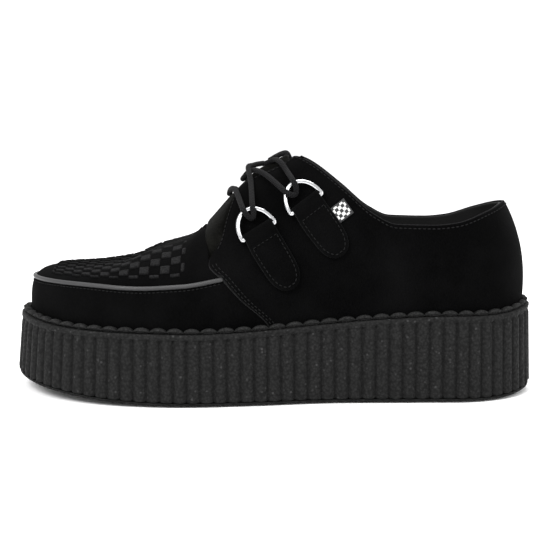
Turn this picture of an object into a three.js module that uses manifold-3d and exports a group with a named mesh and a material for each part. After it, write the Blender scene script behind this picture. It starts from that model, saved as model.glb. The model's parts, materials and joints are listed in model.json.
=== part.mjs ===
// A left creeper shoe: a thick fluted platform with a ruffled welt, a suede upper with a piped and
// interlaced apron, and two metal D-rings on folded tabs each side for a round lace.
// Millimetres, +Z up, toe towards -X, outer side towards -Y, origin on the floor under the middle.
import * as THREE from "three";
import { mergeVertices } from "three/addons/utils/BufferGeometryUtils.js";
import Module from "manifold-3d";

const wasm = await Module();
wasm.setup();

// Overall sizes of the sole
const SHOE_LENGTH = 290;
const BALL_WIDTH = 107;
const HEEL_STACK = 46.5;
const BALL_STACK = 38.5;
const TOE_STACK = 35;
const TOE_SPRING = 8;
const HEEL_BEVEL = 3;
const TOE_FLARE = 3;
const HEEL_FLARE = 1.5;
const LIP_HEIGHT = 3;
const FLUTE_PITCH = 7.2;
const FLUTE_DEPTH = 1.1;
const OUTSOLE_THICKNESS = 3.2;
const OUTSOLE_SETBACK = 0.8;
const PAD_DEPTH = 1;
const PAD_MARGIN = 6;

// Ruffled welt on the rim of the platform
const WELT_PITCH = 9;
const WELT_SETBACK = 0.8;
const WELT_CLEARANCE = 0.6;
const WELT_BASE = 1.4;
const WELT_RUFFLE = 1.6;

// Upper, tongue and insole
const UPPER_SETBACK = 5.2;
const UPPER_WALL = 2.2;
const QUARTER_LIFT = 1.2;
const TOE_CROWN = 69.7;
const INSTEP_CROWN = 86;
const COLLAR_CROWN = 143;
const FACING_TOP = 131.5;
const COLLAR_LOW = 95;
const APRON_EDGE = 63.5;
const FACING_GAP = 14;
const HEEL_BULGE = 1.8;
const TONGUE_THICKNESS = 3;
const TONGUE_HALF_WIDTH = 27;
const TONGUE_BASE_HALF_WIDTH = 36;
const TONGUE_CLEARANCE = 1;
const TONGUE_TUCK = 1.9;
const INSOLE_THICKNESS = 3;

// Piping, and the interlaced field of raised checks on the apron
const PIPING_DIAMETER = 2.4;
const GROOVE_DEPTH = 0.9;
const CHECK_SIZE = 5.8;
const CHECK_LIFT = 0.8;
const WEAVE_SHEET = 0.5;
const WEAVE_HALF_WIDTH = 36;
const WEAVE_MARGIN = 4.5;

// D-rings, the tabs folded round their bars, the lace and the small woven tag
const RING_WIRE = 2.4;
const RING_WIDTH = 18.5;
const RING_REACH = 15.5;
const TAB_SIDE_GAP = 0.45;
const TAB_LEATHER = 1.2;
const LACE_DIAMETER = 3;
const TAG_WIDTH = 8.2;
const TAG_THICKNESS = 0.7;

// Clearance between touching pieces, and the floor of a seam step along the mesh
const SEAT = 0.3;
const STEP_RUN = 0.5;

// The platform's outline at its foot, as shares of SHOE_LENGTH from the toe and of BALL_WIDTH
const OUTLINE = [
  { along: 0, across: 0.06 },
  { along: 0.022, across: -0.13 },
  { along: 0.085, across: -0.325 },
  { along: 0.19, across: -0.458 },
  { along: 0.33, across: -0.5 },
  { along: 0.47, across: -0.457 },
  { along: 0.61, across: -0.39 },
  { along: 0.77, across: -0.366 },
  { along: 0.89, across: -0.335 },
  { along: 0.967, across: -0.205 },
  { along: 1, across: 0.005 },
  { along: 0.967, across: 0.212 },
  { along: 0.89, across: 0.33 },
  { along: 0.77, across: 0.362 },
  { along: 0.61, across: 0.385 },
  { along: 0.47, across: 0.43 },
  { along: 0.33, across: 0.483 },
  { along: 0.2, across: 0.477 },
  { along: 0.098, across: 0.395 },
  { along: 0.025, across: 0.25 },
];

// The last's crest above the floor where the two sides meet, by place along the shoe, and how
// square its section is there: 2 is an ellipse, more is boxier
const CREST = [
  { along: 0, of: TOE_CROWN, share: 0.99, square: 3.6 },
  { along: 0.19, of: TOE_CROWN, share: 1, square: 3.6 },
  { along: 0.26, of: TOE_CROWN, share: 1.043, square: 3.4 },
  { along: 0.315, of: INSTEP_CROWN, share: 0.942, square: 2.9 },
  { along: 0.36, of: INSTEP_CROWN, share: 1, square: 2.4 },
  { along: 0.395, of: INSTEP_CROWN, share: 1.14, square: 2.15 },
  { along: 0.435, of: INSTEP_CROWN, share: 1.297, square: 2.1 },
  { along: 0.475, of: COLLAR_CROWN, share: 0.86, square: 2.05 },
  { along: 0.52, of: COLLAR_CROWN, share: 0.909, square: 2 },
  { along: 0.6, of: COLLAR_CROWN, share: 0.993, square: 2 },
  { along: 0.78, of: COLLAR_CROWN, share: 1, square: 2.1 },
  { along: 0.87, of: COLLAR_CROWN, share: 0.867, square: 2 },
  { along: 1, of: COLLAR_CROWN, share: 0.86, square: 2 },
];

// The top edge of the quarters by place along the shoe: front corner of the facing, dip, heel
const TOPLINE = [
  { along: 0.5, of: FACING_TOP, share: 0.965 },
  { along: 0.52, of: FACING_TOP, share: 0.985 },
  { along: 0.545, of: FACING_TOP, share: 1 },
  { along: 0.58, of: FACING_TOP, share: 0.964 },
  { along: 0.635, of: FACING_TOP, share: 0.866 },
  { along: 0.69, of: COLLAR_LOW, share: 1.058 },
  { along: 0.732, of: COLLAR_LOW, share: 1.002 },
  { along: 0.8, of: COLLAR_LOW, share: 0.997 },
  { along: 0.84, of: COLLAR_LOW, share: 1.008 },
  { along: 0.9, of: COLLAR_LOW, share: 1.069 },
  { along: 0.95, of: COLLAR_LOW, share: 1.122 },
  { along: 1, of: COLLAR_LOW, share: 1.144 },
];

// Half the gap between the facings, from the throat up to the front corner
const FACING = [
  { along: 0.368, share: 2.45 },
  { along: 0.4, share: 2.4 },
  { along: 0.42, share: 1.7 },
  { along: 0.448, share: 1 },
  { along: 0.475, share: 1.05 },
  { along: 0.52, share: 0.97 },
  { along: 0.56, share: 1 },
];
const THROAT_ALONG = 0.368;
const TONGUE_ALONG = { from: 0.3, to: 0.53 };

// The seam where the quarter lies over the vamp, from the facing down to the sole, as heights in
// shares of INSTEP_CROWN
const SEAM = [
  { height: 0.44, along: 0.505 },
  { height: 0.51, along: 0.492 },
  { height: 0.65, along: 0.446 },
  { height: 0.77, along: 0.411 },
  { height: 0.86, along: 0.377 },
  { height: 1.05, along: 0.3705 },
];

// The piped edge of the apron, in shares of APRON_EDGE
const APRON = [
  { along: 0.02, share: 1.025 },
  { along: 0.15, share: 0.995 },
  { along: 0.34, share: 0.975 },
  { along: 0.5, share: 1.01 },
  { along: 0.75, share: 1.06 },
  { along: 1, share: 1.1 },
];

// Places and directions of the D-rings' bars, seen from the side: heights as shares of FACING_TOP,
// the tab's fall from the bar in degrees below the horizontal, and its length from the bar
const TAB_LENGTH = 34;
const RINGS = [
  { name: "front", along: 0.4836, height: 0.698, fall: 63.3, length: 1.03 },
  { name: "rear", along: 0.5683, height: 0.8035, fall: 57.1, length: 0.97 },
];

// Where the apron's interlaced field starts and ends
const WEAVE = { from: 0.085, to: 0.318 };

// Routes of the lace over the tongue: place along the shoe, distance to the inner side of the
// middle line as a share of FACING_GAP, and height above the last as a share of LACE_DIAMETER
const LACE_BAR = [
  { along: 0.452, aside: -1.25, lift: 1.25 },
  { along: 0.432, aside: -0.75, lift: 0.95 },
  { along: 0.42, aside: 0, lift: 0.75 },
  { along: 0.432, aside: 0.75, lift: 0.95 },
  { along: 0.452, aside: 1.25, lift: 1.25 },
];
const LACE_FROM_FRONT = [
  { along: 0.463, aside: -1.35, lift: 1.25 },
  { along: 0.466, aside: -0.6, lift: 1.35 },
  { along: 0.474, aside: 0, lift: 1.1 },
  { along: 0.495, aside: 0.65, lift: 1 },
  { along: 0.516, aside: 1.2, lift: 1.25 },
];
const LACE_FROM_REAR = [
  { along: 0.516, aside: -1.3, lift: 1.25 },
  { along: 0.496, aside: -0.95, lift: 1 },
  { along: 0.469, aside: -0.52, lift: 0.9 },
  { along: 0.451, aside: 0, lift: 0.75 },
  { along: 0.455, aside: 0.65, lift: 0.95 },
  { along: 0.468, aside: 1.3, lift: 1.3 },
];
const LACE_ENDS = [
  {
    name: "outer",
    route: [
      { along: 0.541, aside: -1.15, lift: 1.8 },
      { along: 0.538, aside: -0.9, lift: 2 },
      { along: 0.525, aside: -0.5, lift: 1.6 },
      { along: 0.508, aside: -0.3, lift: 0.75 },
      { along: 0.49, aside: -0.32, lift: 0.27 },
    ],
  },
  {
    name: "inner",
    route: [
      { along: 0.541, aside: 1.15, lift: 1.8 },
      { along: 0.538, aside: 0.9, lift: 2 },
      { along: 0.527, aside: 0.5, lift: 1.6 },
      { along: 0.51, aside: 0.2, lift: 0.75 },
      { along: 0.495, aside: 0.06, lift: 0.27 },
    ],
  },
];

const METAL = { color: 0xd8dade, roughness: 0.18, metalness: 1 };
const LACE = { color: 0x222224, roughness: 0.9, metalness: 0 };
const LEATHER = { color: 0x2c2c2e, roughness: 0.5, metalness: 0 };
const WOVEN = { color: 0xdddddd, roughness: 0.9, metalness: 0 };
const SUEDE = { color: 0x18181a, roughness: 0.95, metalness: 0 };
const RUBBER = { color: 0x3a3b3c, roughness: 0.85, metalness: 0 };

// A smooth curve through a table's rows: cubic between rows, with slopes that never overshoot
function curveThrough(rows, from, value) {
  const xs = rows.map(from);
  const ys = rows.map(value);
  const steps = xs.slice(1).map((x, i) => (ys[i + 1] - ys[i]) / (x - xs[i]));
  const slopes = xs.map((_, i) => {
    if (i === 0 || i === xs.length - 1) return 0;
    if (steps[i - 1] * steps[i] <= 0) return 0;
    return (2 * steps[i - 1] * steps[i]) / (steps[i - 1] + steps[i]);
  });
  slopes[0] = steps[0];
  slopes[xs.length - 1] = steps[steps.length - 1];
  return (x) => {
    if (x <= xs[0]) return ys[0];
    if (x >= xs[xs.length - 1]) return ys[ys.length - 1];
    let i = 0;
    while (x > xs[i + 1]) i += 1;
    const span = xs[i + 1] - xs[i];
    const t = (x - xs[i]) / span;
    const rise = ys[i + 1] - ys[i];
    const a = slopes[i] * span - rise;
    const b = rise - slopes[i + 1] * span;
    return ys[i] + t * rise + t * (1 - t) * (a * (1 - t) + b * t);
  };
}

// The x, or other input, between low and high at which a rising or falling function is zero
function rootOf(f, low, high, rounds = 40) {
  const sign = Math.sign(f(low));
  for (let i = 0; i < rounds; i += 1) {
    const mid = (low + high) / 2;
    if (Math.sign(f(mid)) === sign) low = mid;
    else high = mid;
  }
  return (low + high) / 2;
}

const place = (along) => (along - 0.5) * SHOE_LENGTH;
const share = (x) => x / SHOE_LENGTH + 0.5;
const byAlong = (row) => row.along;

// The two halves of the outline, from toe to heel, each sampled evenly along its length
const OUTLINE_STEPS = 600;
const outlineMiddle = (() => {
  const across = OUTLINE.map((row) => row.across);
  return (Math.max(...across) + Math.min(...across)) / 2;
})();
const halves = (() => {
  const points = OUTLINE.map(
    (row) =>
      new THREE.Vector3(
        place(row.along),
        (row.across - outlineMiddle) * BALL_WIDTH,
        0,
      ),
  );
  const loop = new THREE.CatmullRomCurve3(points, true, "centripetal");
  loop.arcLengthDivisions = 2000;
  const count = 2 * OUTLINE_STEPS;
  const ring = loop.getSpacedPoints(count).slice(0, count);
  const xs = ring.map((p) => p.x);
  const toe = xs.indexOf(Math.min(...xs));
  const heel = xs.indexOf(Math.max(...xs));
  const walk = (step, length) =>
    Array.from({ length: length + 1 }, (_, i) =>
      ring[(toe + i * step + 2 * count) % count].clone(),
    );
  const outerLength = (heel - toe + count) % count;
  return { outer: walk(1, outerLength), inner: walk(-1, count - outerLength) };
})();
const SIDES = { outer: 1, inner: -1 };

const halfPerimeter = (side) =>
  halves[side].slice(1).reduce((sum, p, i) => sum + p.distanceTo(halves[side][i]), 0);
const HALF_PERIMETER = (halfPerimeter("outer") + halfPerimeter("inner")) / 2;

// A point of the outline, moved in by a distance at right angles to the outline
function outlinePoint(side, w, inset) {
  const half = halves[side];
  const at = w * (half.length - 1);
  const pick = (k) => {
    const i = THREE.MathUtils.clamp(k, 0, half.length - 1);
    const low = Math.floor(i);
    const high = Math.min(low + 1, half.length - 1);
    return half[low].clone().lerp(half[high], i - low);
  };
  const reach = 4;
  const before = at < reach ? halves[other(side)][Math.round(reach - at)] : pick(at - reach);
  const last = half.length - 1;
  const mirror = halves[other(side)];
  const past = at + reach - last;
  const after = past > 0 ? mirror[Math.round(mirror.length - 1 - past)] : pick(at + reach);
  const run = after.clone().sub(before).normalize();
  const turn = SIDES[side];
  const inward = new THREE.Vector3(-run.y * turn, run.x * turn, 0);
  return pick(at).addScaledVector(inward, inset);
}

function other(side) {
  return side === "outer" ? "inner" : "outer";
}

// Floor side of the sole: toe spring, flat from ball to heel, then a light heel bevel
const SPRING_END = 0.36;
const BEVEL_START = 0.9;
function soleBottom(x) {
  const along = THREE.MathUtils.clamp(share(x), 0, 1);
  if (along < SPRING_END) return TOE_SPRING * Math.pow(1 - along / SPRING_END, 1.9);
  if (along > BEVEL_START) return HEEL_BEVEL * Math.pow((along - BEVEL_START) / (1 - BEVEL_START), 2);
  return 0;
}

// Height of the platform's rim above the floor
function rimHeight(x) {
  const along = THREE.MathUtils.clamp(share(x), 0, 1);
  const toeToBall = THREE.MathUtils.smoothstep(along, 0, 0.32);
  const ballToHeel = THREE.MathUtils.smoothstep(along, 0.36, 0.84);
  const stack = THREE.MathUtils.lerp(TOE_STACK, BALL_STACK, toeToBall);
  return soleBottom(x) + THREE.MathUtils.lerp(stack, HEEL_STACK, ballToHeel);
}

// Inset of the rim from the foot of the platform: the wall flares out downwards
function rimInset(x) {
  return THREE.MathUtils.lerp(TOE_FLARE, HEEL_FLARE, THREE.MathUtils.clamp(share(x), 0, 1));
}

const FOOT_INSET = TOE_FLARE + UPPER_SETBACK;
const SPINE_INSET = 34;
const toeEnd = outlinePoint("outer", 0, FOOT_INSET);
const heelEnd = outlinePoint("outer", 1, HEEL_FLARE + UPPER_SETBACK);
const crestHeight = curveThrough(CREST, byAlong, (row) => row.of * row.share);
const crestSquare = curveThrough(CREST, byAlong, (row) => row.square);
const toplineHeight = curveThrough(TOPLINE, byAlong, (row) => row.of * row.share);
const facingGap = curveThrough(FACING, byAlong, (row) => row.share * FACING_GAP);
const apronHeight = curveThrough(APRON, byAlong, (row) => row.share * APRON_EDGE);
const seamAlong = curveThrough(
  SEAM,
  (row) => row.height * INSTEP_CROWN,
  (row) => row.along,
);

// The shoe's middle line from toe to heel, seen from above
const middleLine = (x) =>
  THREE.MathUtils.lerp(toeEnd.y, heelEnd.y, (x - toeEnd.x) / (heelEnd.x - toeEnd.x));

// The foot of the upper's wall on the platform, moved in by a wall or a clearance
function upperFoot(side, w, shrink) {
  const edge = outlinePoint(side, w, 0);
  return outlinePoint(side, w, rimInset(edge.x) + UPPER_SETBACK + shrink);
}

// The line that both sides of the last rise to, for the same w on both sides
function spinePoint(w) {
  const a = upperFoot("outer", w, 0);
  const b = upperFoot("inner", w, 0);
  const along = ((a.x + b.x) / 2 - toeEnd.x) / (heelEnd.x - toeEnd.x);
  const x = THREE.MathUtils.lerp(toeEnd.x + SPINE_INSET, heelEnd.x - SPINE_INSET, along);
  return new THREE.Vector3(x, middleLine(x), 0);
}

// The last: at s 0 the foot of the wall, at s 1 the crest, along a squared ellipse between them
function lastPoint(side, w, s, shrink = 0) {
  const foot = upperFoot(side, w, shrink);
  const spine = spinePoint(w);
  const base = rimHeight(foot.x) + SEAT;
  const along = share(spine.x);
  const square = crestSquare(along);
  const turn = (Math.min(s, 1) * Math.PI) / 2;
  const out = s >= 1 ? 0 : Math.pow(Math.cos(turn), 2 / square);
  const up = Math.pow(Math.sin(turn), 2 / square);
  const rise = crestHeight(along) - shrink - base;
  const point = spine.clone().lerp(foot.clone().setZ(0), out);
  const z = base + rise * up;
  const collar = THREE.MathUtils.smoothstep(w, 0.5, 0.85);
  const swell = Math.sin(Math.PI * Math.min(1, (z - base) / (COLLAR_LOW - HEEL_STACK + 12)));
  const away = foot.clone().sub(spine).setZ(0).normalize();
  point.addScaledVector(away, HEEL_BULGE * collar * swell * Math.min(1, out * 2));
  point.z = z;
  return point;
}

// Whether a point of the last is past the edge of the opening for the foot
function isOpen(p) {
  const along = share(p.x);
  if (along < THROAT_ALONG) return false;
  if (Math.abs(p.y - middleLine(p.x)) < facingGap(along) && along < 0.56) return true;
  return p.z > toplineHeight(along);
}

// Where a column of the last stops: at the crest, or at the edge of the opening
const throatShare = rootOf((w) => share(spinePoint(w).x) - THROAT_ALONG, 0.1, 0.6) - 1e-4;
const topCache = new Map();
function columnTop(side, w) {
  if (w <= throatShare + 1e-9) return 1;
  const key = side + w;
  if (topCache.has(key)) return topCache.get(key);
  const steps = 60;
  let top = 1;
  for (let i = 1; i <= steps; i += 1) {
    if (isOpen(lastPoint(side, w, i / steps))) {
      top = rootOf((s) => (isOpen(lastPoint(side, w, s)) ? 1 : -1), (i - 1) / steps, i / steps, 24);
      break;
    }
  }
  topCache.set(key, top);
  return top;
}

// Where a column crosses the piped edge of the apron
const edgeCache = new Map();
function columnEdge(side, w) {
  const key = side + w;
  if (edgeCache.has(key)) return edgeCache.get(key);
  const over = (s) => {
    const p = lastPoint(side, w, s);
    return p.z - apronHeight(share(p.x));
  };
  const s = rootOf(over, 0.02, 0.9);
  edgeCache.set(key, s);
  return s;
}

// Outward direction of the last, from its slopes along and up
function lastNormal(side, w, s) {
  const dw = 0.004;
  const ds = 0.01;
  const low = Math.max(0.001, w - dw);
  const high = Math.min(0.999, w + dw);
  const under = Math.max(0.002, s - ds);
  const over = Math.min(0.995, s + ds);
  const along = lastPoint(side, high, s).sub(lastPoint(side, low, s));
  const up = lastPoint(side, w, over).sub(lastPoint(side, w, under));
  return along.cross(up).multiplyScalar(SIDES[side]).normalize();
}

// Columns around the upper and rows up its wall
const TOE_COLUMNS = 11;
const THROAT_COLUMNS = 4;
const FACING_COLUMNS = 8;
const WAIST_COLUMNS = 8;
const HEEL_COLUMNS = 9;
const SEAM_COLUMN = TOE_COLUMNS + THROAT_COLUMNS + 1;
const LOWER_ROWS = [0, 0.35, 0.68];
const UPPER_ROWS = [0.22, 0.45, 0.7, 0.88, 1];
const GROOVE_WIDTH = PIPING_DIAMETER + 3 * SEAT;

// Rows as functions of where the column's apron edge and top lie
function rowShares(side, w) {
  const edge = columnEdge(side, w);
  const top = columnTop(side, w);
  const foot = lastPoint(side, w, edge);
  const near = lastPoint(side, w, edge + 0.01);
  const perShare = foot.distanceTo(near) / 0.01;
  const half = GROOVE_WIDTH / 2 / perShare;
  const run = STEP_RUN / perShare;
  const low = edge - half - run;
  const high = edge + half + run;
  return [
    ...LOWER_ROWS.map((r) => r * low),
    low,
    edge - half,
    edge + half,
    high,
    ...UPPER_ROWS.map((r) => high + r * (top - high)),
  ];
}
const GROOVE_ROWS = [LOWER_ROWS.length + 1, LOWER_ROWS.length + 2];

// The share w at which row j crosses the quarter's front seam
function seamShare(side, row) {
  const past = (w) => {
    const p = lastPoint(side, w, rowShares(side, w)[row]);
    return share(p.x) - seamAlong(p.z);
  };
  return rootOf(past, 0.25, 0.55, 22);
}

// Both sides share one bend of the columns, so that they meet along the crest
const UPPER_ROW_COUNT = rowShares("outer", 0.1).length;
const seamShares = Array.from(
  { length: UPPER_ROW_COUNT },
  (_, row) => (seamShare("outer", row) + seamShare("inner", row)) / 2,
);

// Places of the columns, as shares of the way from toe to heel at the top row: the last toe column
// meets the crest where the throat begins, and the last throat column carries the seam
const seamTop = seamShares[UPPER_ROW_COUNT - 1];
const HEEL_START = 0.82;
const columnShares = (() => {
  const list = [];
  const spread = (from, to, count, ease = 1) => {
    for (let i = 1; i <= count; i += 1) {
      list.push(THREE.MathUtils.lerp(from, to, Math.pow(i / count, ease)));
    }
  };
  for (let i = 0; i <= TOE_COLUMNS; i += 1) {
    list.push(throatShare * Math.pow(i / TOE_COLUMNS, 1.12));
  }
  spread(throatShare, seamTop, THROAT_COLUMNS);
  list.push(seamTop + STEP_RUN / HALF_PERIMETER);
  const facingEnd = seamTop + 0.12;
  spread(seamTop, facingEnd, FACING_COLUMNS, 1.35);
  spread(facingEnd, HEEL_START, WAIST_COLUMNS);
  spread(HEEL_START, 1, HEEL_COLUMNS);
  return list;
})();

// Columns bend so that one of them follows the seam
function bentShare(column, row) {
  const w = columnShares[column];
  const seam = seamShares[row];
  if (w <= seamTop) return (w / seamTop) * seam;
  return 1 - ((1 - w) * (1 - seam)) / (1 - seamTop);
}

// How far the outer face stands off the last: the quarter lies on top, the piping sits in a groove
function faceLift(column, row) {
  if (column >= SEAM_COLUMN) return QUARTER_LIFT;
  return GROOVE_ROWS.includes(row) ? -GROOVE_DEPTH : 0;
}

// One column of the upper, as outer and inner points from the foot to the top
function upperColumn(side, column) {
  const outer = [];
  const inner = [];
  for (let row = 0; row < UPPER_ROW_COUNT; row += 1) {
    const w = bentShare(column, row);
    const s = rowShares(side, w)[row];
    const lift = faceLift(column, row);
    const face = lastPoint(side, w, s);
    if (lift !== 0) face.addScaledVector(lastNormal(side, w, s), lift);
    if (row === 0) face.z = rimHeight(face.x) + SEAT;
    outer.push(face);
    const back = lastPoint(side, w, s, UPPER_WALL);
    if (row === 0) back.z = rimHeight(back.x) + SEAT;
    inner.push(back);
  }
  return { outer, inner };
}

// A closed body from two facing grids of points, each a list of columns; skipRim tells which
// column pairs already meet their mirror at the last row
function bodyBetween(outer, inner, loop, skipRim = () => false) {
  const columns = outer.length;
  const rows = outer[0].length;
  const positions = [];
  const quad = (a, b, c, d) => {
    for (const p of [a, b, c, a, c, d]) positions.push(p.x, p.y, p.z);
  };
  const pairs = loop ? columns : columns - 1;
  for (let i = 0; i < pairs; i += 1) {
    const k = (i + 1) % columns;
    for (let j = 0; j + 1 < rows; j += 1) {
      quad(outer[i][j], outer[k][j], outer[k][j + 1], outer[i][j + 1]);
      quad(inner[i][j], inner[i][j + 1], inner[k][j + 1], inner[k][j]);
    }
    quad(outer[k][0], outer[i][0], inner[i][0], inner[k][0]);
    const m = rows - 1;
    if (!skipRim(i, k)) quad(outer[i][m], outer[k][m], inner[k][m], inner[i][m]);
  }
  if (!loop) {
    const e = columns - 1;
    for (let j = 0; j + 1 < rows; j += 1) {
      quad(outer[0][j], outer[0][j + 1], inner[0][j + 1], inner[0][j]);
      quad(outer[e][j + 1], outer[e][j], inner[e][j], inner[e][j + 1]);
    }
  }
  const geometry = new THREE.BufferGeometry();
  geometry.setAttribute("position", new THREE.Float32BufferAttribute(positions, 3));
  return welded(geometry);
}

// Shared vertices merged and faces that collapsed dropped
function welded(geometry) {
  const bare = new THREE.BufferGeometry();
  bare.setAttribute("position", geometry.getAttribute("position"));
  if (geometry.index) bare.setIndex(geometry.index);
  const merged = mergeVertices(bare, 1e-3);
  const kept = [];
  const index = merged.index.array;
  for (let i = 0; i < index.length; i += 3) {
    const [a, b, c] = [index[i], index[i + 1], index[i + 2]];
    if (a !== b && b !== c && c !== a) kept.push(a, b, c);
  }
  merged.setIndex(kept);
  return merged;
}

function solidFrom(geometry) {
  const mesh = welded(geometry);
  return new wasm.Manifold(
    new wasm.Mesh({
      numProp: 3,
      vertProperties: Float32Array.from(mesh.getAttribute("position").array),
      triVerts: Uint32Array.from(mesh.index.array),
    }),
  );
}

function geometryFrom(solid) {
  const mesh = solid.getMesh();
  const geometry = new THREE.BufferGeometry();
  const points = new Float32Array(mesh.numVert * 3);
  for (let i = 0; i < mesh.numVert; i += 1) {
    const from = mesh.vertProperties.subarray(i * mesh.numProp, i * mesh.numProp + 3);
    points.set(from, i * 3);
  }
  geometry.setAttribute("position", new THREE.BufferAttribute(points, 3));
  geometry.setIndex(new THREE.BufferAttribute(Uint32Array.from(mesh.triVerts), 1));
  return geometry;
}

function piece(name, geometry, look) {
  const material = new THREE.MeshStandardMaterial({ flatShading: true, ...look });
  const mesh = new THREE.Mesh(geometry, material);
  mesh.name = name;
  return mesh;
}

// Columns once round the shoe: down the outer side, back up the inner side
function aroundShoe(count, make) {
  const columns = [];
  for (let i = 0; i < count; i += 1) columns.push(make("outer", i / count, i));
  for (let i = 0; i < count; i += 1) columns.push(make("inner", 1 - i / count, count + i));
  return columns;
}

// A ring wall with its top and bottom closed straight across the shoe
function slabBody(columns) {
  const count = columns.length / 2;
  const rows = columns[0].length;
  const positions = [];
  const tri = (a, b, c) => {
    for (const p of [a, b, c]) positions.push(p.x, p.y, p.z);
  };
  columns.forEach((column, i) => {
    const next = columns[(i + 1) % columns.length];
    for (let j = 0; j + 1 < rows; j += 1) {
      tri(column[j], next[j], next[j + 1]);
      tri(column[j], next[j + 1], column[j + 1]);
    }
  });
  for (let i = 0; i < count; i += 1) {
    const a = columns[i];
    const b = columns[i + 1];
    const c = columns[(2 * count - i - 1) % (2 * count)];
    const d = columns[(2 * count - i) % (2 * count)];
    for (const [j, flip] of [
      [rows - 1, false],
      [0, true],
    ]) {
      const [p, q, r, t] = flip ? [d, c, b, a] : [a, b, c, d];
      if (p !== t) tri(p[j], r[j], t[j]);
      if (q !== r) tri(p[j], q[j], r[j]);
    }
  }
  const geometry = new THREE.BufferGeometry();
  geometry.setAttribute("position", new THREE.Float32BufferAttribute(positions, 3));
  return welded(geometry);
}

// The platform: vertical flutes from its foot up to a plain lip
function buildPlatform() {
  const flutes = Math.round(HALF_PERIMETER / FLUTE_PITCH);
  const profile = [0, 0, FLUTE_DEPTH];
  const columns = aroundShoe(flutes * profile.length, (side, w, i) => {
    const dip = profile[i % profile.length];
    const edge = outlinePoint(side, w, 0);
    const foot = soleBottom(edge.x) + OUTSOLE_THICKNESS + SEAT;
    const inset = rimInset(edge.x);
    const underRim = (depth, drop) => {
      const p = outlinePoint(side, w, depth);
      return p.setZ(rimHeight(p.x) - drop);
    };
    return [
      outlinePoint(side, w, dip).setZ(foot),
      underRim(inset + dip, LIP_HEIGHT + FLUTE_DEPTH),
      underRim(inset, LIP_HEIGHT),
      underRim(inset, 0),
    ];
  });
  return slabBody(columns);
}

// The thin outsole, with the forefoot and heel pads of its tread standing proud as its main lugs
const PADS = [
  { from: 0.2, to: 0.5 },
  { from: 0.66, to: 0.88 },
];
function buildOutsole() {
  const steps = 44;
  const columns = aroundShoe(steps, (side, w) => {
    const edge = outlinePoint(side, w, OUTSOLE_SETBACK);
    const low = soleBottom(edge.x) + PAD_DEPTH;
    return [edge.clone().setZ(low), edge.clone().setZ(soleBottom(edge.x) + OUTSOLE_THICKNESS)];
  });
  let body = solidFrom(slabBody(columns));
  for (const pad of PADS) {
    const bars = 6;
    const pitch = (pad.to - pad.from) / bars;
    for (let i = 0; i < bars; i += 1) {
      const from = pad.from + pitch * (i + 0.08);
      const to = pad.from + pitch * (i + 0.92);
      body = body.add(solidFrom(treadBar(from, to)));
    }
  }
  return geometryFrom(body);
}

// One flat bar of tread across the sole, between two places along it
function treadBar(from, to) {
  const shareAt = (side, along) =>
    rootOf((w) => outlinePoint(side, w, 0).x - place(along), 0, 1, 30);
  const corner = (side, along) =>
    outlinePoint(side, shareAt(side, along), OUTSOLE_SETBACK + PAD_MARGIN);
  const corners = [
    corner("outer", from),
    corner("outer", to),
    corner("inner", to),
    corner("inner", from),
  ];
  const shape = new THREE.Shape(corners.map((p) => new THREE.Vector2(p.x, p.y)));
  const bar = new THREE.ExtrudeGeometry(shape, {
    depth: 2 * PAD_DEPTH,
    bevelEnabled: false,
  });
  const lift = soleBottom(place(from));
  return bar.translate(0, 0, lift);
}

// The welt: a strip round the foot of the upper whose top rises and falls in ruffles
function buildWelt() {
  const ruffles = Math.round(HALF_PERIMETER / WELT_PITCH);
  const wave = [0, 1];
  const outer = [];
  const inner = [];
  aroundShoe(ruffles * wave.length, (side, w, i) => {
    const edge = outlinePoint(side, w, 0);
    const inset = rimInset(edge.x);
    const swell = wave[i % wave.length];
    const near = inset + WELT_SETBACK + (1 - swell) * 0.6;
    const onQuarter = THREE.MathUtils.smoothstep(w, seamShares[0] - 0.015, seamShares[0] - 0.003);
    const far = inset + UPPER_SETBACK - WELT_CLEARANCE - QUARTER_LIFT * onQuarter;
    const a = outlinePoint(side, w, near);
    const b = outlinePoint(side, w, far);
    const top = WELT_BASE + WELT_RUFFLE * swell;
    outer.push([
      a.clone().setZ(rimHeight(a.x) + SEAT),
      a.clone().setZ(rimHeight(a.x) + SEAT + top),
    ]);
    inner.push([
      b.clone().setZ(rimHeight(b.x) + SEAT),
      b.clone().setZ(rimHeight(b.x) + SEAT + top),
    ]);
  });
  return bodyBetween(outer, inner, true);
}

// The hollow upper: wall, groove for the piping, apron and the quarters that lie over the vamp
function buildUpper() {
  const last = columnShares.length - 1;
  const order = [];
  for (let i = 0; i <= last; i += 1) order.push(["outer", i]);
  for (let i = last - 1; i >= 1; i -= 1) order.push(["inner", i]);
  const columns = order.map(([side, i]) => upperColumn(side, i));
  const closed = order.map(([, i]) => i <= TOE_COLUMNS);
  const shell = bodyBetween(
    columns.map((c) => c.outer),
    columns.map((c) => c.inner),
    true,
    (i, k) => closed[i] && closed[k],
  );
  return shell;
}

// The insole on the platform, inside the upper's wall
function buildInsole() {
  const steps = 32;
  const columns = aroundShoe(steps, (side, w) => {
    const foot = upperFoot(side, w, UPPER_WALL + TONGUE_CLEARANCE);
    const low = rimHeight(foot.x) + SEAT;
    return [foot.clone().setZ(low), foot.clone().setZ(low + INSOLE_THICKNESS)];
  });
  return slabBody(columns);
}

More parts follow.
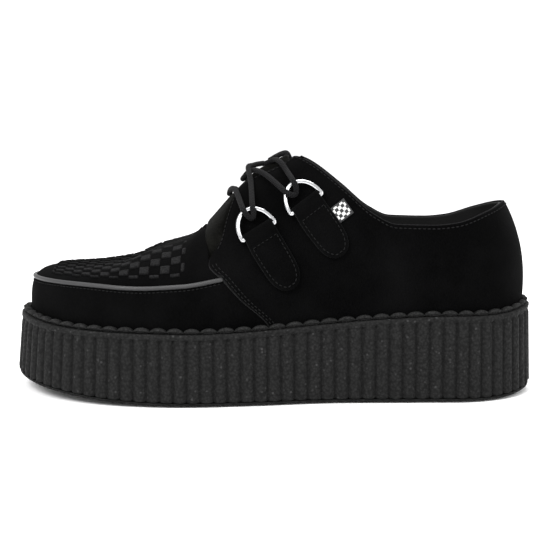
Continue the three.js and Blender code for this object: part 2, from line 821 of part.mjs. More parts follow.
// How far the tongue lies under the last: below the wall, but swelling up between the facings
function tongueDepth(p) {
  const along = share(p.x);
  const aside = Math.abs(p.y - middleLine(p.x));
  const gap = facingGap(along);
  const between = 1 - THREE.MathUtils.smoothstep(aside, gap - 10, gap - 4);
  const past = THREE.MathUtils.smoothstep(along, THROAT_ALONG + 0.02, THROAT_ALONG + 0.055);
  const tucked = 1 - THREE.MathUtils.smoothstep(along, THROAT_ALONG + 0.01, THROAT_ALONG + 0.035);
  const under = UPPER_WALL + TONGUE_CLEARANCE + TONGUE_TUCK * tucked;
  return under - UPPER_WALL * between * past;
}

// The tongue, from under the apron up to its free end between the facings
function buildTongue() {
  const stations = 15;
  const halfRows = 5;
  const outer = [];
  const inner = [];
  const spineShare = (along) => rootOf((w) => share(spinePoint(w).x) - along, 0.1, 0.8);
  const from = spineShare(TONGUE_ALONG.from);
  const to = spineShare(TONGUE_ALONG.to);
  for (let i = 0; i <= stations; i += 1) {
    const w = THREE.MathUtils.lerp(from, to, i / stations);
    const face = [];
    const back = [];
    const add = (side, t) => {
      const wide = (s) => {
        const p = lastPoint(side, w, s);
        const narrowing = THREE.MathUtils.smoothstep(share(p.x), THROAT_ALONG + 0.04, THROAT_ALONG + 0.09);
        const half = THREE.MathUtils.lerp(TONGUE_BASE_HALF_WIDTH, TONGUE_HALF_WIDTH, narrowing);
        return Math.abs(p.y - middleLine(p.x)) - half;
      };
      const low = rootOf(wide, 0.05, 0.999);
      const s = THREE.MathUtils.lerp(low, 1, t);
      const depth = tongueDepth(lastPoint(side, w, s));
      face.push(lastPoint(side, w, s, depth));
      back.push(lastPoint(side, w, s, depth + TONGUE_THICKNESS));
    };
    for (let k = 0; k <= halfRows; k += 1) add("outer", k / halfRows);
    for (let k = halfRows - 1; k >= 0; k -= 1) add("inner", k / halfRows);
    outer.push(face);
    inner.push(back);
  }
  return bodyBetween(outer, inner, false);
}

// The point over the last at a place along the shoe and a distance from the middle line
function overCrest(along, aside, lift) {
  const side = aside < 0 ? "outer" : "inner";
  const reach = Math.max(Math.abs(aside), 0.05);
  const shareUp = (w) => {
    const past = (s) => {
      const p = lastPoint(side, w, s);
      return Math.abs(p.y - middleLine(p.x)) - reach;
    };
    return past(0.02) < 0 ? 0.02 : rootOf(past, 0.02, 1, 26);
  };
  const w = rootOf((v) => share(lastPoint(side, v, shareUp(v)).x) - along, 0, 0.75, 26);
  const s = shareUp(w);
  return lastPoint(side, w, s).addScaledVector(lastNormal(side, w, Math.min(s, 0.985)), lift);
}

// The point on the quarter's face at a place along the shoe and a height, and its outward normal
function onQuarter(side, along, height, lift) {
  const shareUp = (w) => rootOf((s) => lastPoint(side, w, s).z - height, 0.02, 0.999, 26);
  const w = rootOf((v) => share(lastPoint(side, v, shareUp(v)).x) - along, 0.3, 0.85, 26);
  const s = shareUp(w);
  const normal = lastNormal(side, w, s);
  const point = lastPoint(side, w, s).addScaledVector(normal, QUARTER_LIFT + lift);
  return { point, normal };
}

// A round cord through points, as a closed tube
function cordTube(points, diameter, sides, stepsPerSpan) {
  const section = new THREE.Shape();
  for (let i = 0; i < sides; i += 1) {
    const turn = (i / sides) * 2 * Math.PI;
    const x = (Math.cos(turn) * diameter) / 2;
    const y = (Math.sin(turn) * diameter) / 2;
    if (i === 0) section.moveTo(x, y);
    else section.lineTo(x, y);
  }
  section.closePath();
  return new THREE.ExtrudeGeometry(section, {
    steps: (points.length - 1) * stepsPerSpan,
    bevelEnabled: false,
    extrudePath: new THREE.CatmullRomCurve3(points, false, "centripetal"),
  });
}

// Half the width of the apron at a place near the toe or the ball
function apronHalfWidth(side, along) {
  const edge = (w) => lastPoint(side, w, columnEdge(side, w));
  const w = rootOf((v) => share(edge(v).x) - along, 0.01, 0.6, 26);
  const p = edge(w);
  return Math.abs(p.y - middleLine(p.x));
}

// The interlaced field: a thin sheet whose strips rise in staggered checks
function buildInterlace() {
  const length = (WEAVE.to - WEAVE.from) * SHOE_LENGTH;
  const stations = 2 * Math.round(length / CHECK_SIZE / 2);
  const rows = 2 * Math.round(WEAVE_HALF_WIDTH / CHECK_SIZE);
  const outer = [];
  const inner = [];
  for (let i = 0; i <= stations; i += 1) {
    const along = THREE.MathUtils.lerp(WEAVE.from, WEAVE.to, i / stations);
    const reach = (side) =>
      Math.min(WEAVE_HALF_WIDTH, apronHalfWidth(side, along) - WEAVE_MARGIN);
    const face = [];
    const back = [];
    for (let j = 0; j <= rows; j += 1) {
      const t = (2 * j) / rows - 1;
      const aside = t < 0 ? t * reach("outer") : t * reach("inner");
      const lift = 2 * SEAT + WEAVE_SHEET + ((i + j) % 2) * CHECK_LIFT;
      face.push(overCrest(along, aside, lift));
      back.push(overCrest(along, aside, lift - WEAVE_SHEET));
    }
    outer.push(face);
    inner.push(back);
  }
  return bodyBetween(outer, inner, false);
}

// The piping in its groove, from the quarter's seam on one side round the toe to the other
function buildPiping() {
  const row = GROOVE_ROWS[0];
  const rise = PIPING_DIAMETER / 2 + SEAT - GROOVE_DEPTH + 0.2;
  const at = (side, column) => {
    const w = Math.min(bentShare(column, row), seamShares[row] - PIPING_DIAMETER / HALF_PERIMETER);
    const s = columnEdge(side, w);
    return lastPoint(side, w, s).addScaledVector(lastNormal(side, w, s), rise);
  };
  const points = [];
  for (let i = SEAM_COLUMN - 1; i >= 0; i -= 1) points.push(at("outer", i));
  for (let i = 1; i < SEAM_COLUMN; i += 1) points.push(at("inner", i));
  return geometryFrom(solidFrom(cordTube(points, PIPING_DIAMETER, 6, 1)));
}

const barRadius = RING_WIRE / 2 + SEAT;
const sleeveRadius = barRadius + TAB_LEATHER;
const tabWidth = RING_WIDTH - 2 * TAB_SIDE_GAP;

// A ring's own frame on the quarter: its bar along one axis, the tab's fall along another
function ringFrame(side, ring) {
  const height = ring.height * FACING_TOP;
  const fall = THREE.MathUtils.degToRad(ring.fall);
  const step = 4;
  const here = onQuarter(side, ring.along, height, SEAT + sleeveRadius);
  const below = onQuarter(
    side,
    ring.along + (step * Math.cos(fall)) / SHOE_LENGTH,
    height - step * Math.sin(fall),
    SEAT + sleeveRadius,
  );
  const down = below.point.clone().sub(here.point);
  down.addScaledVector(here.normal, -down.dot(here.normal)).normalize();
  const bar = new THREE.Vector3().crossVectors(down, here.normal);
  return { origin: here.point, bar, down, normal: here.normal, height, fall };
}

function inFrame(geometry, frame) {
  const turn = new THREE.Matrix4().makeBasis(frame.bar, frame.down, frame.normal);
  return geometry.applyMatrix4(turn.setPosition(frame.origin));
}

// A suede tab on the quarter: a folded strap with a rounded tip, sewn round the ring's bar
function buildTab(side, ring) {
  const frame = ringFrame(side, ring);
  const length = ring.length * TAB_LENGTH;
  const stations = [0, 0.25, 0.5, 0.68, 0.82, 0.93, 1];
  const widths = [1, 1, 1, 0.97, 0.84, 0.58, 0.22];
  const acrossTurn = side === "outer" ? 1 : -1;
  const at = (t, across, lift) => {
    const run = t * length;
    const aside = (across * acrossTurn * tabWidth) / 2;
    const along = ring.along + (run * Math.cos(frame.fall) + aside * Math.sin(frame.fall)) / SHOE_LENGTH;
    const height = frame.height - run * Math.sin(frame.fall) + aside * Math.cos(frame.fall);
    return onQuarter(side, along, height, lift).point;
  };
  const rows = [-1, 0, 1];
  const low = SEAT + 0.05;
  const grid = (lift) =>
    stations.map((t, i) => rows.map((r) => at(t, r * widths[i], lift)));
  let strap = solidFrom(bodyBetween(grid(low + 2 * TAB_LEATHER), grid(low), false));
  const rod = (radius, length) => inFrame(new THREE.CylinderGeometry(radius, radius, length, 10)
    .rotateZ(Math.PI / 2), frame);
  strap = strap.add(solidFrom(rod(sleeveRadius, tabWidth)));
  return geometryFrom(strap.subtract(solidFrom(rod(barRadius, 2 * tabWidth))));
}

// A metal D-ring: a straight bar and a round bow over the facing
function buildRing(side, ring) {
  const frame = ringFrame(side, ring);
  const reach = (RING_WIDTH + RING_WIRE) / 2;
  const points = [];
  const turns = 8;
  for (let i = 0; i <= turns; i += 1) {
    const turn = (i / turns) * Math.PI;
    points.push(new THREE.Vector3(reach * Math.cos(turn), -RING_REACH * Math.sin(turn), 0));
  }
  const bow = solidFrom(inFrame(cordTube(points, RING_WIRE, 6, 1), frame));
  const bar = new THREE.CylinderGeometry(RING_WIRE / 2, RING_WIRE / 2, 2 * reach + 0.4, 6);
  return geometryFrom(bow.add(solidFrom(inFrame(bar.rotateZ(Math.PI / 2), frame))));
}

// A stretch of the lace along a route over the tongue
function laceStretch(route, stepsPerSpan = 1) {
  const points = route.map((row) =>
    overCrest(row.along, row.aside * FACING_GAP, row.lift * LACE_DIAMETER),
  );
  return solidFrom(cordTube(points, LACE_DIAMETER, 8, stepsPerSpan));
}

// The woven tag that stands out behind the rear tab
function buildTag() {
  const ring = RINGS[1];
  const frame = ringFrame("outer", ring);
  const run = { from: 8.2, to: 16.6 };
  const edge = tabWidth / 2 + SEAT + 0.1;
  const at = (down, aside, lift) => {
    const along = ring.along + (down * Math.cos(frame.fall) + aside * Math.sin(frame.fall)) / SHOE_LENGTH;
    const height = frame.height - down * Math.sin(frame.fall) + aside * Math.cos(frame.fall);
    return onQuarter("outer", along, height, lift).point;
  };
  const grid = (lift) =>
    [run.from, run.to].map((down) =>
      [edge, edge + TAG_WIDTH / 2, edge + TAG_WIDTH].map((aside) => at(down, aside, lift)),
    );
  return bodyBetween(grid(SEAT + 0.1 + TAG_THICKNESS), grid(SEAT + 0.1), false);
}

const parts = new THREE.Group();
parts.add(piece("outsole", buildOutsole(), RUBBER));
parts.add(piece("platform", buildPlatform(), RUBBER));
parts.add(piece("welt", buildWelt(), RUBBER));
parts.add(piece("upper", buildUpper(), SUEDE));
parts.add(piece("insole", buildInsole(), SUEDE));
parts.add(piece("tongue", buildTongue(), SUEDE));
parts.add(piece("interlace", buildInterlace(), SUEDE));
parts.add(piece("piping", buildPiping(), LEATHER));
for (const side of Object.keys(SIDES)) {
  for (const ring of RINGS) {
    parts.add(piece(`tab_${side}_${ring.name}`, buildTab(side, ring), SUEDE));
    parts.add(piece(`ring_${side}_${ring.name}`, buildRing(side, ring), METAL));
  }
}
parts.add(piece("tag", buildTag(), WOVEN));
parts.add(piece("lace_bar", geometryFrom(laceStretch(LACE_BAR)), LACE));
const crossing = laceStretch(LACE_FROM_FRONT).add(laceStretch(LACE_FROM_REAR));
parts.add(piece("lace_cross", geometryFrom(crossing), LACE));
for (const end of LACE_ENDS) {
  parts.add(piece(`lace_end_${end.name}`, geometryFrom(laceStretch(end.route)), LACE));
}

export default parts;
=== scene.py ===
"""A left creeper shoe in black suede on a thick fluted platform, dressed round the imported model.

Lengths inside this file are millimetres; a mesh is scaled to metres when it is put into Blender.
"""
import json
import logging
import math
from collections.abc import Callable
from dataclasses import dataclass
from enum import Enum

import bmesh
import bpy
import numpy as np
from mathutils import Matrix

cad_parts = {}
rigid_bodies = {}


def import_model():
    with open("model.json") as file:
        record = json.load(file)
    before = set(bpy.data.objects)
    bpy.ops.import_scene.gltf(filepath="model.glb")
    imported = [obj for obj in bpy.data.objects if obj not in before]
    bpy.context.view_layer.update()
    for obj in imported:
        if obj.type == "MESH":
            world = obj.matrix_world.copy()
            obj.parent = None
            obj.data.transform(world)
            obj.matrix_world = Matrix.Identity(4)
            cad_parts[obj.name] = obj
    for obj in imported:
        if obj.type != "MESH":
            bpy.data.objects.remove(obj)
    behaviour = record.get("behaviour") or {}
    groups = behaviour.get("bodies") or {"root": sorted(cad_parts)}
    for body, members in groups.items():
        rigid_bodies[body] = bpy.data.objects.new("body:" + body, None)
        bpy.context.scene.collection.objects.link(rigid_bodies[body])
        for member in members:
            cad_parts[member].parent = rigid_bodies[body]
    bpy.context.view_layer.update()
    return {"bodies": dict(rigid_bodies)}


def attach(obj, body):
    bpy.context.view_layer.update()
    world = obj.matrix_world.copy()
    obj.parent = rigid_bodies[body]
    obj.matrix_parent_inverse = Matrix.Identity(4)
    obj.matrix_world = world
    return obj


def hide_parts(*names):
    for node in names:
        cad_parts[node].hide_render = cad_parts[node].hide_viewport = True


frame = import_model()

LOG = logging.getLogger("creeper")
BODY = next(iter(frame["bodies"]))
MM = 0.001
Array = np.ndarray


class Side(Enum):
    """The two sides of the shoe, with the sign of their place on the outline."""

    OUTER = 1
    INNER = -1

    @property
    def label(self) -> str:
        """The side's word in the names of pieces."""
        return self.name.lower()


def smooth(x: Array, low: float, high: float) -> Array:
    """A smooth step from 0 at low to 1 at high: 3t^2 - 2t^3."""
    t = np.clip((np.asarray(x, float) - low) / (high - low), 0, 1)
    return t * t * (3 - 2 * t)


def blend(a: Array, b: Array, t: Array) -> Array:
    """A straight mix of a and b by t."""
    return a + (b - a) * t


def unit(v: Array) -> Array:
    """Vectors along the last axis brought to length 1."""
    return v / np.maximum(np.linalg.norm(v, axis=-1, keepdims=True), 1e-9)


def bisect(f: Callable[[Array], Array], low: Array, high: Array, rounds: int = 26) -> Array:
    """Where a rising function crosses zero, for whole arrays at once.

    Args:
        f: The function; it is below zero at low and above it at high.
        low: Lower ends of the search.
        high: Upper ends of the search.
        rounds: How often the interval is halved.

    Returns:
        The crossing for each entry.
    """
    low, high = np.array(low, float), np.array(high, float)
    for _ in range(rounds):
        mid = (low + high) / 2
        below = f(mid) < 0
        low, high = np.where(below, mid, low), np.where(below, high, mid)
    return (low + high) / 2


class Curve:
    """A cubic through a table's rows whose slopes never overshoot (harmonic means of the steps)."""

    def __init__(self, rows: list[tuple[float, float]], scale: float = 1.0) -> None:
        """Keeps the rows as (x, y), with y multiplied by scale."""
        table = np.array(rows, float)
        self.x, self.y = table[:, 0], table[:, 1] * scale
        steps = np.diff(self.y) / np.diff(self.x)
        before, after = steps[:-1], steps[1:]
        total = np.where(before + after == 0, 1, before + after)
        inner = np.where(before * after > 0, 2 * before * after / total, 0)
        self.slope = np.concatenate([steps[:1], inner, steps[-1:]])

    def __call__(self, x: Array) -> Array:
        """The curve's height at x, held constant past its ends."""
        x = np.clip(np.asarray(x, float), self.x[0], self.x[-1])
        i = np.clip(np.searchsorted(self.x, x, side="left") - 1, 0, len(self.x) - 2)
        span = self.x[i + 1] - self.x[i]
        t = (x - self.x[i]) / span
        rise = self.y[i + 1] - self.y[i]
        a = self.slope[i] * span - rise
        b = rise - self.slope[i + 1] * span
        return self.y[i] + t * rise + t * (1 - t) * (a * (1 - t) + b * t)


def spline(points: Array, per_span: int, closed: bool = False) -> Array:
    """A centripetal spline: between two points the cubic whose end slopes come from four points.

    Args:
        points: The points to pass through, one a row.
        per_span: Samples in each span.
        closed: Whether the last point joins the first.

    Returns:
        The samples, in order.
    """
    p = np.asarray(points, float)
    if closed:
        p0, p1, p2, p3 = np.roll(p, 1, 0), p, np.roll(p, -1, 0), np.roll(p, -2, 0)
    else:
        full = np.vstack([2 * p[:1] - p[1:2], p, 2 * p[-1:] - p[-2:-1]])
        p0, p1, p2, p3 = full[:-3], full[1:-2], full[2:-1], full[3:]
    d0, d1, d2 = (np.linalg.norm(b - a, axis=1, keepdims=True) ** 0.5
                  for a, b in ((p0, p1), (p1, p2), (p2, p3)))
    m1 = ((p1 - p0) / d0 - (p2 - p0) / (d0 + d1) + (p2 - p1) / d1) * d1
    m2 = ((p2 - p1) / d1 - (p3 - p1) / (d1 + d2) + (p3 - p2) / d2) * d1
    t = np.linspace(0, 1, per_span, endpoint=False)[None, :, None]
    square, cube = 3 * (p2 - p1) - 2 * m1 - m2, 2 * (p1 - p2) + m1 + m2
    a, b, c, d = (v[:, None] for v in (p1, m1, square, cube))
    out = (a + b * t + c * t ** 2 + d * t ** 3).reshape(-1, p.shape[1])
    return out if closed else np.vstack([out, p[-1:]])


def run_of(path: Array) -> Array:
    """The length run from a path's first point to each of its points."""
    return np.concatenate([[0], np.cumsum(np.linalg.norm(np.diff(path, axis=0), axis=1))])


def evenly(path: Array, count: int) -> Array:
    """A path sampled again at count places that are evenly spaced along its length."""
    run = run_of(path)
    at = np.linspace(0, run[-1], count)
    return np.stack([np.interp(at, run, path[:, k]) for k in range(path.shape[1])], 1)


def length_of(path: Array) -> float:
    """The length of a path of points."""
    return float(np.linalg.norm(np.diff(path, axis=0), axis=1).sum())


def raised(plan: Array, z: Array) -> Array:
    """Points from their places seen from above and their heights."""
    return np.concatenate([plan, z[..., None]], -1)


def eased(count: int) -> Array:
    """Numbers from 0 to 1 that lie closer together at both ends: part even, part sine squared."""
    return blend(np.linspace(0, 1, count), np.sin(np.linspace(0, 0.5, count) * np.pi) ** 2, 0.6)


def spanned(outer: Array, inner: Array, t: Array) -> tuple[Array, Array]:
    """A sheet's plan between two lines.

    Args:
        outer: The outer line's points.
        inner: The inner line's points.
        t: Places from the outer line, -1, to the inner one, 1.

    Returns:
        The plan's points, and each one's distance from the nearer line.
    """
    outer, inner = outer[:, None], inner[:, None]
    plan = blend(outer, inner, (t[None, :, None] + 1) / 2)
    return plan, np.minimum(np.linalg.norm(plan - outer, axis=-1), np.linalg.norm(plan - inner, axis=-1))


OUTLINE = [
    (0, 0.06), (0.022, -0.13), (0.085, -0.325), (0.19, -0.458), (0.33, -0.5), (0.47, -0.457),
    (0.61, -0.39), (0.77, -0.366), (0.89, -0.335), (0.967, -0.205), (1, 0.005), (0.967, 0.212),
    (0.89, 0.33), (0.77, 0.362), (0.61, 0.385), (0.47, 0.43), (0.33, 0.483), (0.2, 0.477),
    (0.098, 0.395), (0.025, 0.25),
]
TOE_CROWN, INSTEP_CROWN, COLLAR_CROWN = 69.7, 86.0, 143.0
CREST = [
    (0, 0.99 * TOE_CROWN), (0.19, TOE_CROWN), (0.26, 1.043 * TOE_CROWN), (0.315, 0.95 * INSTEP_CROWN),
    (0.36, 1.014 * INSTEP_CROWN), (0.395, 1.14 * INSTEP_CROWN), (0.435, 1.297 * INSTEP_CROWN),
    (0.475, 0.86 * COLLAR_CROWN), (0.52, 0.909 * COLLAR_CROWN), (0.6, 0.993 * COLLAR_CROWN),
    (0.78, COLLAR_CROWN), (0.87, 0.867 * COLLAR_CROWN), (1, 0.86 * COLLAR_CROWN),
]
SQUARE = [
    (0, 5.2), (0.12, 4.4), (0.19, 3.8), (0.26, 3.4), (0.315, 2.9), (0.36, 2.4), (0.395, 2.15), (0.435, 2.1),
    (0.475, 2.05), (0.52, 2), (0.6, 2), (0.78, 2.1), (0.87, 2), (1, 2),
]
FACING_TOP, COLLAR_LOW = 131.5, 95.0
TOPLINE = [
    (0.5, 0.965 * FACING_TOP), (0.52, 0.98 * FACING_TOP), (0.538, 0.989 * FACING_TOP),
    (0.55, 0.99 * FACING_TOP), (0.562, 0.981 * FACING_TOP), (0.58, 0.96 * FACING_TOP),
    (0.635, 0.866 * FACING_TOP), (0.69, 1.058 * COLLAR_LOW), (0.732, 1.002 * COLLAR_LOW),
    (0.8, 0.997 * COLLAR_LOW), (0.84, 1.008 * COLLAR_LOW), (0.9, 1.069 * COLLAR_LOW),
    (0.95, 1.122 * COLLAR_LOW), (1, 1.144 * COLLAR_LOW),
]
FACING = [(0.368, 2.9), (0.388, 2.92), (0.4, 2.8), (0.4125, 2.6), (0.4245, 2.0), (0.448, 1), (0.475, 1.05),
          (0.52, 0.93), (0.54, 0.82), (0.56, 0.8)]
FACING_GAP, APRON_EDGE = 14.0, 63.5
SEAM = [(0.44, 0.505), (0.51, 0.492), (0.65, 0.446), (0.77, 0.4135), (0.86, 0.389), (0.9, 0.391), (1.05, 0.4)]
APRON = [(0.02, 0.985), (0.15, 0.982), (0.26, 0.972), (0.34, 0.99), (0.414, 1.05), (0.5, 1.12), (0.75, 1.14),
         (1, 1.15)]


@dataclass(frozen=True)
class Last:
    """The shoe's last and sole outline: every piece is laid on it.

    A place on it is (q, s). q runs round the outline, 0 at the toe, +1 at the heel down the outer
    side and -1 at the heel down the inner side. s runs up a column, 0 at the foot, 1 at the crest.
    """

    length: float = 290.0
    ball: float = 107.0
    heel_stack: float = 46.5
    ball_stack: float = 38.5
    toe_stack: float = 35.0
    toe_spring: float = 8.0
    heel_bevel: float = 3.0
    toe_flare: float = 3.0
    heel_flare: float = 1.5
    setback: float = 5.2
    wall: float = 2.2
    seat: float = 0.3
    bulge: float = 1.8
    bulge_over: float = 12.0
    spine_inset: float = 34.0
    throat: float = 0.368
    throat_sweep: float = 0.02
    throat_reach: float = 41.0

    def __post_init__(self) -> None:
        """Works out the outline once and keeps it with its inward normals."""
        rows = np.array(OUTLINE)
        middle = (rows[:, 1].max() + rows[:, 1].min()) / 2
        points = np.stack([(rows[:, 0] - 0.5) * self.length, (rows[:, 1] - middle) * self.ball], 1)
        ring = spline(points, 100, closed=True)
        ring = evenly(np.vstack([ring, ring[:1]]), 1201)[:-1]
        run = unit(np.roll(ring, -4, 0) - np.roll(ring, 4, 0))
        inward = np.stack([-run[:, 1], run[:, 0]], 1)
        toe, heel = int(ring[:, 0].argmin()), int(ring[:, 0].argmax())
        count = len(ring)
        ahead = (heel - toe) % count
        back = count - ahead
        index = (toe + np.arange(-back, ahead + 1)) % count
        places = np.concatenate([np.linspace(-1, 0, back + 1), np.linspace(0, 1, ahead + 1)[1:]])
        keep = object.__setattr__
        keep(self, "table", np.column_stack([places, ring[index], inward[index]]))
        keep(self, "perimeter", length_of(ring))
        keep(self, "crest", Curve(CREST))
        keep(self, "square", Curve(SQUARE))
        keep(self, "topline", Curve(TOPLINE))
        keep(self, "gap", Curve(FACING, FACING_GAP))
        keep(self, "apron", Curve(APRON, APRON_EDGE))
        keep(self, "seam", Curve([(h * INSTEP_CROWN, a) for h, a in SEAM]))
        ends = self.outline(np.array([0.0, 1.0]), np.array([self.toe_flare, self.heel_flare]) + self.setback)
        keep(self, "ends", ends)
        w = np.linspace(0, 1, 801)
        along = ((self.foot(w)[:, 0] + self.foot(-w)[:, 0]) / 2 - ends[0, 0]) / (ends[1, 0] - ends[0, 0])
        keep(self, "spine_w", w)
        keep(self, "spine_x", blend(ends[0, 0] + self.spine_inset, ends[1, 0] - self.spine_inset, along))
        keep(self, "throat_w", float(np.interp(self.place(self.throat), self.spine_x, w)))

    def place(self, along: Array) -> Array:
        """The x of a share of the shoe's length."""
        return (np.asarray(along) - 0.5) * self.length

    def share(self, x: Array) -> Array:
        """The share of the shoe's length at x."""
        return np.asarray(x) / self.length + 0.5

    def outline(self, q: Array, inset: Array) -> Array:
        """The sole's outline at q, moved inwards along its normal by inset."""
        x, y, nx, ny = (np.interp(q, self.table[:, 0], self.table[:, k]) for k in range(1, 5))
        return np.stack([x + nx * inset, y + ny * inset], -1)

    def bottom(self, x: Array) -> Array:
        """Floor side of the sole: toe spring as a power curve, flat, then a square heel bevel."""
        a = np.clip(self.share(x), 0, 1)
        spring = self.toe_spring * np.clip(1 - a / 0.36, 0, 1) ** 1.9
        return spring + self.heel_bevel * np.clip((a - 0.9) / 0.1, 0, 1) ** 2

    def rim(self, x: Array) -> Array:
        """Height of the platform's rim: its floor side plus the stack there."""
        a = np.clip(self.share(x), 0, 1)
        stack = blend(self.toe_stack, self.ball_stack, smooth(a, 0, 0.32))
        return self.bottom(x) + blend(stack, self.heel_stack, smooth(a, 0.36, 0.84))

    def rim_inset(self, x: Array) -> Array:
        """How far the rim stands in from the platform's foot."""
        return blend(self.toe_flare, self.heel_flare, np.clip(self.share(x), 0, 1))

    def foot(self, q: Array, shrink: Array = 0.0) -> Array:
        """Foot of the upper's wall, seen from above."""
        return self.outline(q, self.rim_inset(self.outline(q, 0)[..., 0]) + self.setback + shrink)

    def middle(self, x: Array) -> Array:
        """The y of the line from toe to heel."""
        (x0, y0), (x1, y1) = self.ends
        return y0 + (np.asarray(x) - x0) / (x1 - x0) * (y1 - y0)

    def at(self, q: Array, s: Array, shrink: Array = 0.0) -> Array:
        """A point of the last: a squared ellipse from the foot at s 0 up to the crest at s 1.

        Args:
            q: Place round the outline.
            s: Place up the column.
            shrink: Distance inside the last.

        Returns:
            Points, with x, y and z on the last axis.
        """
        q, s, shrink = np.broadcast_arrays(np.asarray(q, float), np.asarray(s, float), np.asarray(shrink, float))
        foot = self.foot(q, shrink)
        x = np.interp(np.abs(q), self.spine_w, self.spine_x)
        spine = np.stack([x, self.middle(x)], -1)
        base = self.rim(foot[..., 0]) + self.seat
        along = self.share(x)
        power = 2 / self.square(along)
        turn = np.clip(s, 0, 1) * np.pi / 2
        out = np.where(s >= 1, 0, np.clip(np.cos(turn), 0, 1) ** power)
        z = base + (self.crest(along) - shrink - base) * np.sin(turn) ** power
        swell = np.sin(np.pi * np.minimum(1, (z - base) / (COLLAR_LOW - self.heel_stack + self.bulge_over)))
        push = self.bulge * smooth(np.abs(q), 0.5, 0.85) * swell * np.minimum(1, out * 2)
        flat = blend(spine, foot, out[..., None]) + unit(foot - spine) * push[..., None]
        return raised(flat, z)

    def normal(self, q: Array, s: Array) -> Array:
        """Outward direction: the slope along the outline crossed with the slope up the column."""
        low, high = np.clip(q - 0.004, -0.999, 0.999), np.clip(q + 0.004, -0.999, 0.999)
        under, over = np.maximum(0.002, np.minimum(s, 0.985) - 0.01), np.minimum(0.995, s + 0.01)
        return unit(np.cross(self.at(high, s) - self.at(low, s), self.at(q, over) - self.at(q, under)))

    def face(self, q: Array, s: Array, lift: Array) -> Array:
        """A point that stands lift off the last."""
        return self.at(q, s) + self.normal(q, s) * np.asarray(lift)[..., None]

    def climb(self, q: Array, s: Array, step: float) -> Array:
        """Millimetres per unit of s up the columns, over a small step from s."""
        return np.linalg.norm(self.at(q, s + step) - self.at(q, s), axis=-1) / abs(step)

    def edge(self, q: Array) -> Array:
        """The s of the apron's piped edge in each column."""
        def over(s: Array) -> Array:
            p = self.at(q, s)
            return p[..., 2] - self.apron(self.share(p[..., 0]))
        return bisect(over, np.full(np.shape(q), 0.02), np.full(np.shape(q), 0.9))

    def open_at(self, p: Array) -> Array:
        """Whether points lie past the edge of the opening for the foot."""
        along = self.share(p[..., 0])
        aside = np.abs(p[..., 1] - self.middle(p[..., 0]))
        start = self.throat + self.throat_sweep * (aside / self.throat_reach) ** 2
        amid = (aside < self.gap(along)) & (along < FACING[-1][0])
        return (along >= start) & (amid | (p[..., 2] > self.topline(along)))

    def top(self, q: Array) -> Array:
        """The s where each column meets the opening's edge, or 1 at the crest."""
        q = np.asarray(q, float)
        s = np.linspace(0, 1, 121)
        seen = self.open_at(self.at(q[..., None], s))
        seen[np.abs(q) <= self.throat_w] = False
        first = np.argmax(seen, -1)
        found = seen.any(-1)
        low, high = s[np.maximum(first - 1, 0)], s[first]
        cut = bisect(lambda v: np.where(self.open_at(self.at(q, v)), 1.0, -1.0), low, high, 22)
        return np.where(found, cut, 1.0)

    def seam_w(self, side: Side, share_up: Array) -> Array:
        """The |q| at which each share of a column's height crosses the quarter's front seam."""
        def past(w: Array) -> Array:
            p = self.at(side.value * w, share_up * self.top(side.value * w))
            return self.share(p[..., 0]) - self.seam(p[..., 2])
        start = np.full(np.shape(share_up), self.throat_w + 0.0015)
        return bisect(past, start, np.full(np.shape(share_up), 0.55), 20)

    def on_quarter(self, side: Side, along: Array, height: Array) -> tuple[Array, Array]:
        """The place (q, s) on a side at a share of the length and a height."""
        along, height = np.broadcast_arrays(np.asarray(along, float), np.asarray(height, float))

        def up(w: Array) -> Array:
            return bisect(lambda s: self.at(side.value * w, s)[..., 2] - height,
                          np.full(along.shape, 0.02), np.full(along.shape, 0.999), 22)
        w = bisect(lambda v: self.share(self.at(side.value * v, up(v))[..., 0]) - along,
                   np.full(along.shape, 0.25), np.full(along.shape, 0.9), 22)
        return side.value * w, up(w)

    def over_crest(self, along: Array, aside: Array) -> tuple[Array, Array]:
        """The place (q, s) at a share of the length and a distance to the inner side of the middle."""
        along, aside = np.broadcast_arrays(np.asarray(along, float), np.asarray(aside, float))
        sign = np.where(aside < 0, 1, -1)
        reach = np.maximum(np.abs(aside), 0.05)

        def up(w: Array) -> Array:
            def past(s: Array) -> Array:
                p = self.at(sign * w, s)
                return reach - np.abs(p[..., 1] - self.middle(p[..., 0]))
            return bisect(past, np.full(along.shape, 0.02), np.ones(along.shape), 22)
        w = bisect(lambda v: self.share(self.at(sign * v, up(v))[..., 0]) - along,
                   np.zeros(along.shape), np.full(along.shape, 0.75), 22)
        return sign * w, up(w)


LAST = Last()


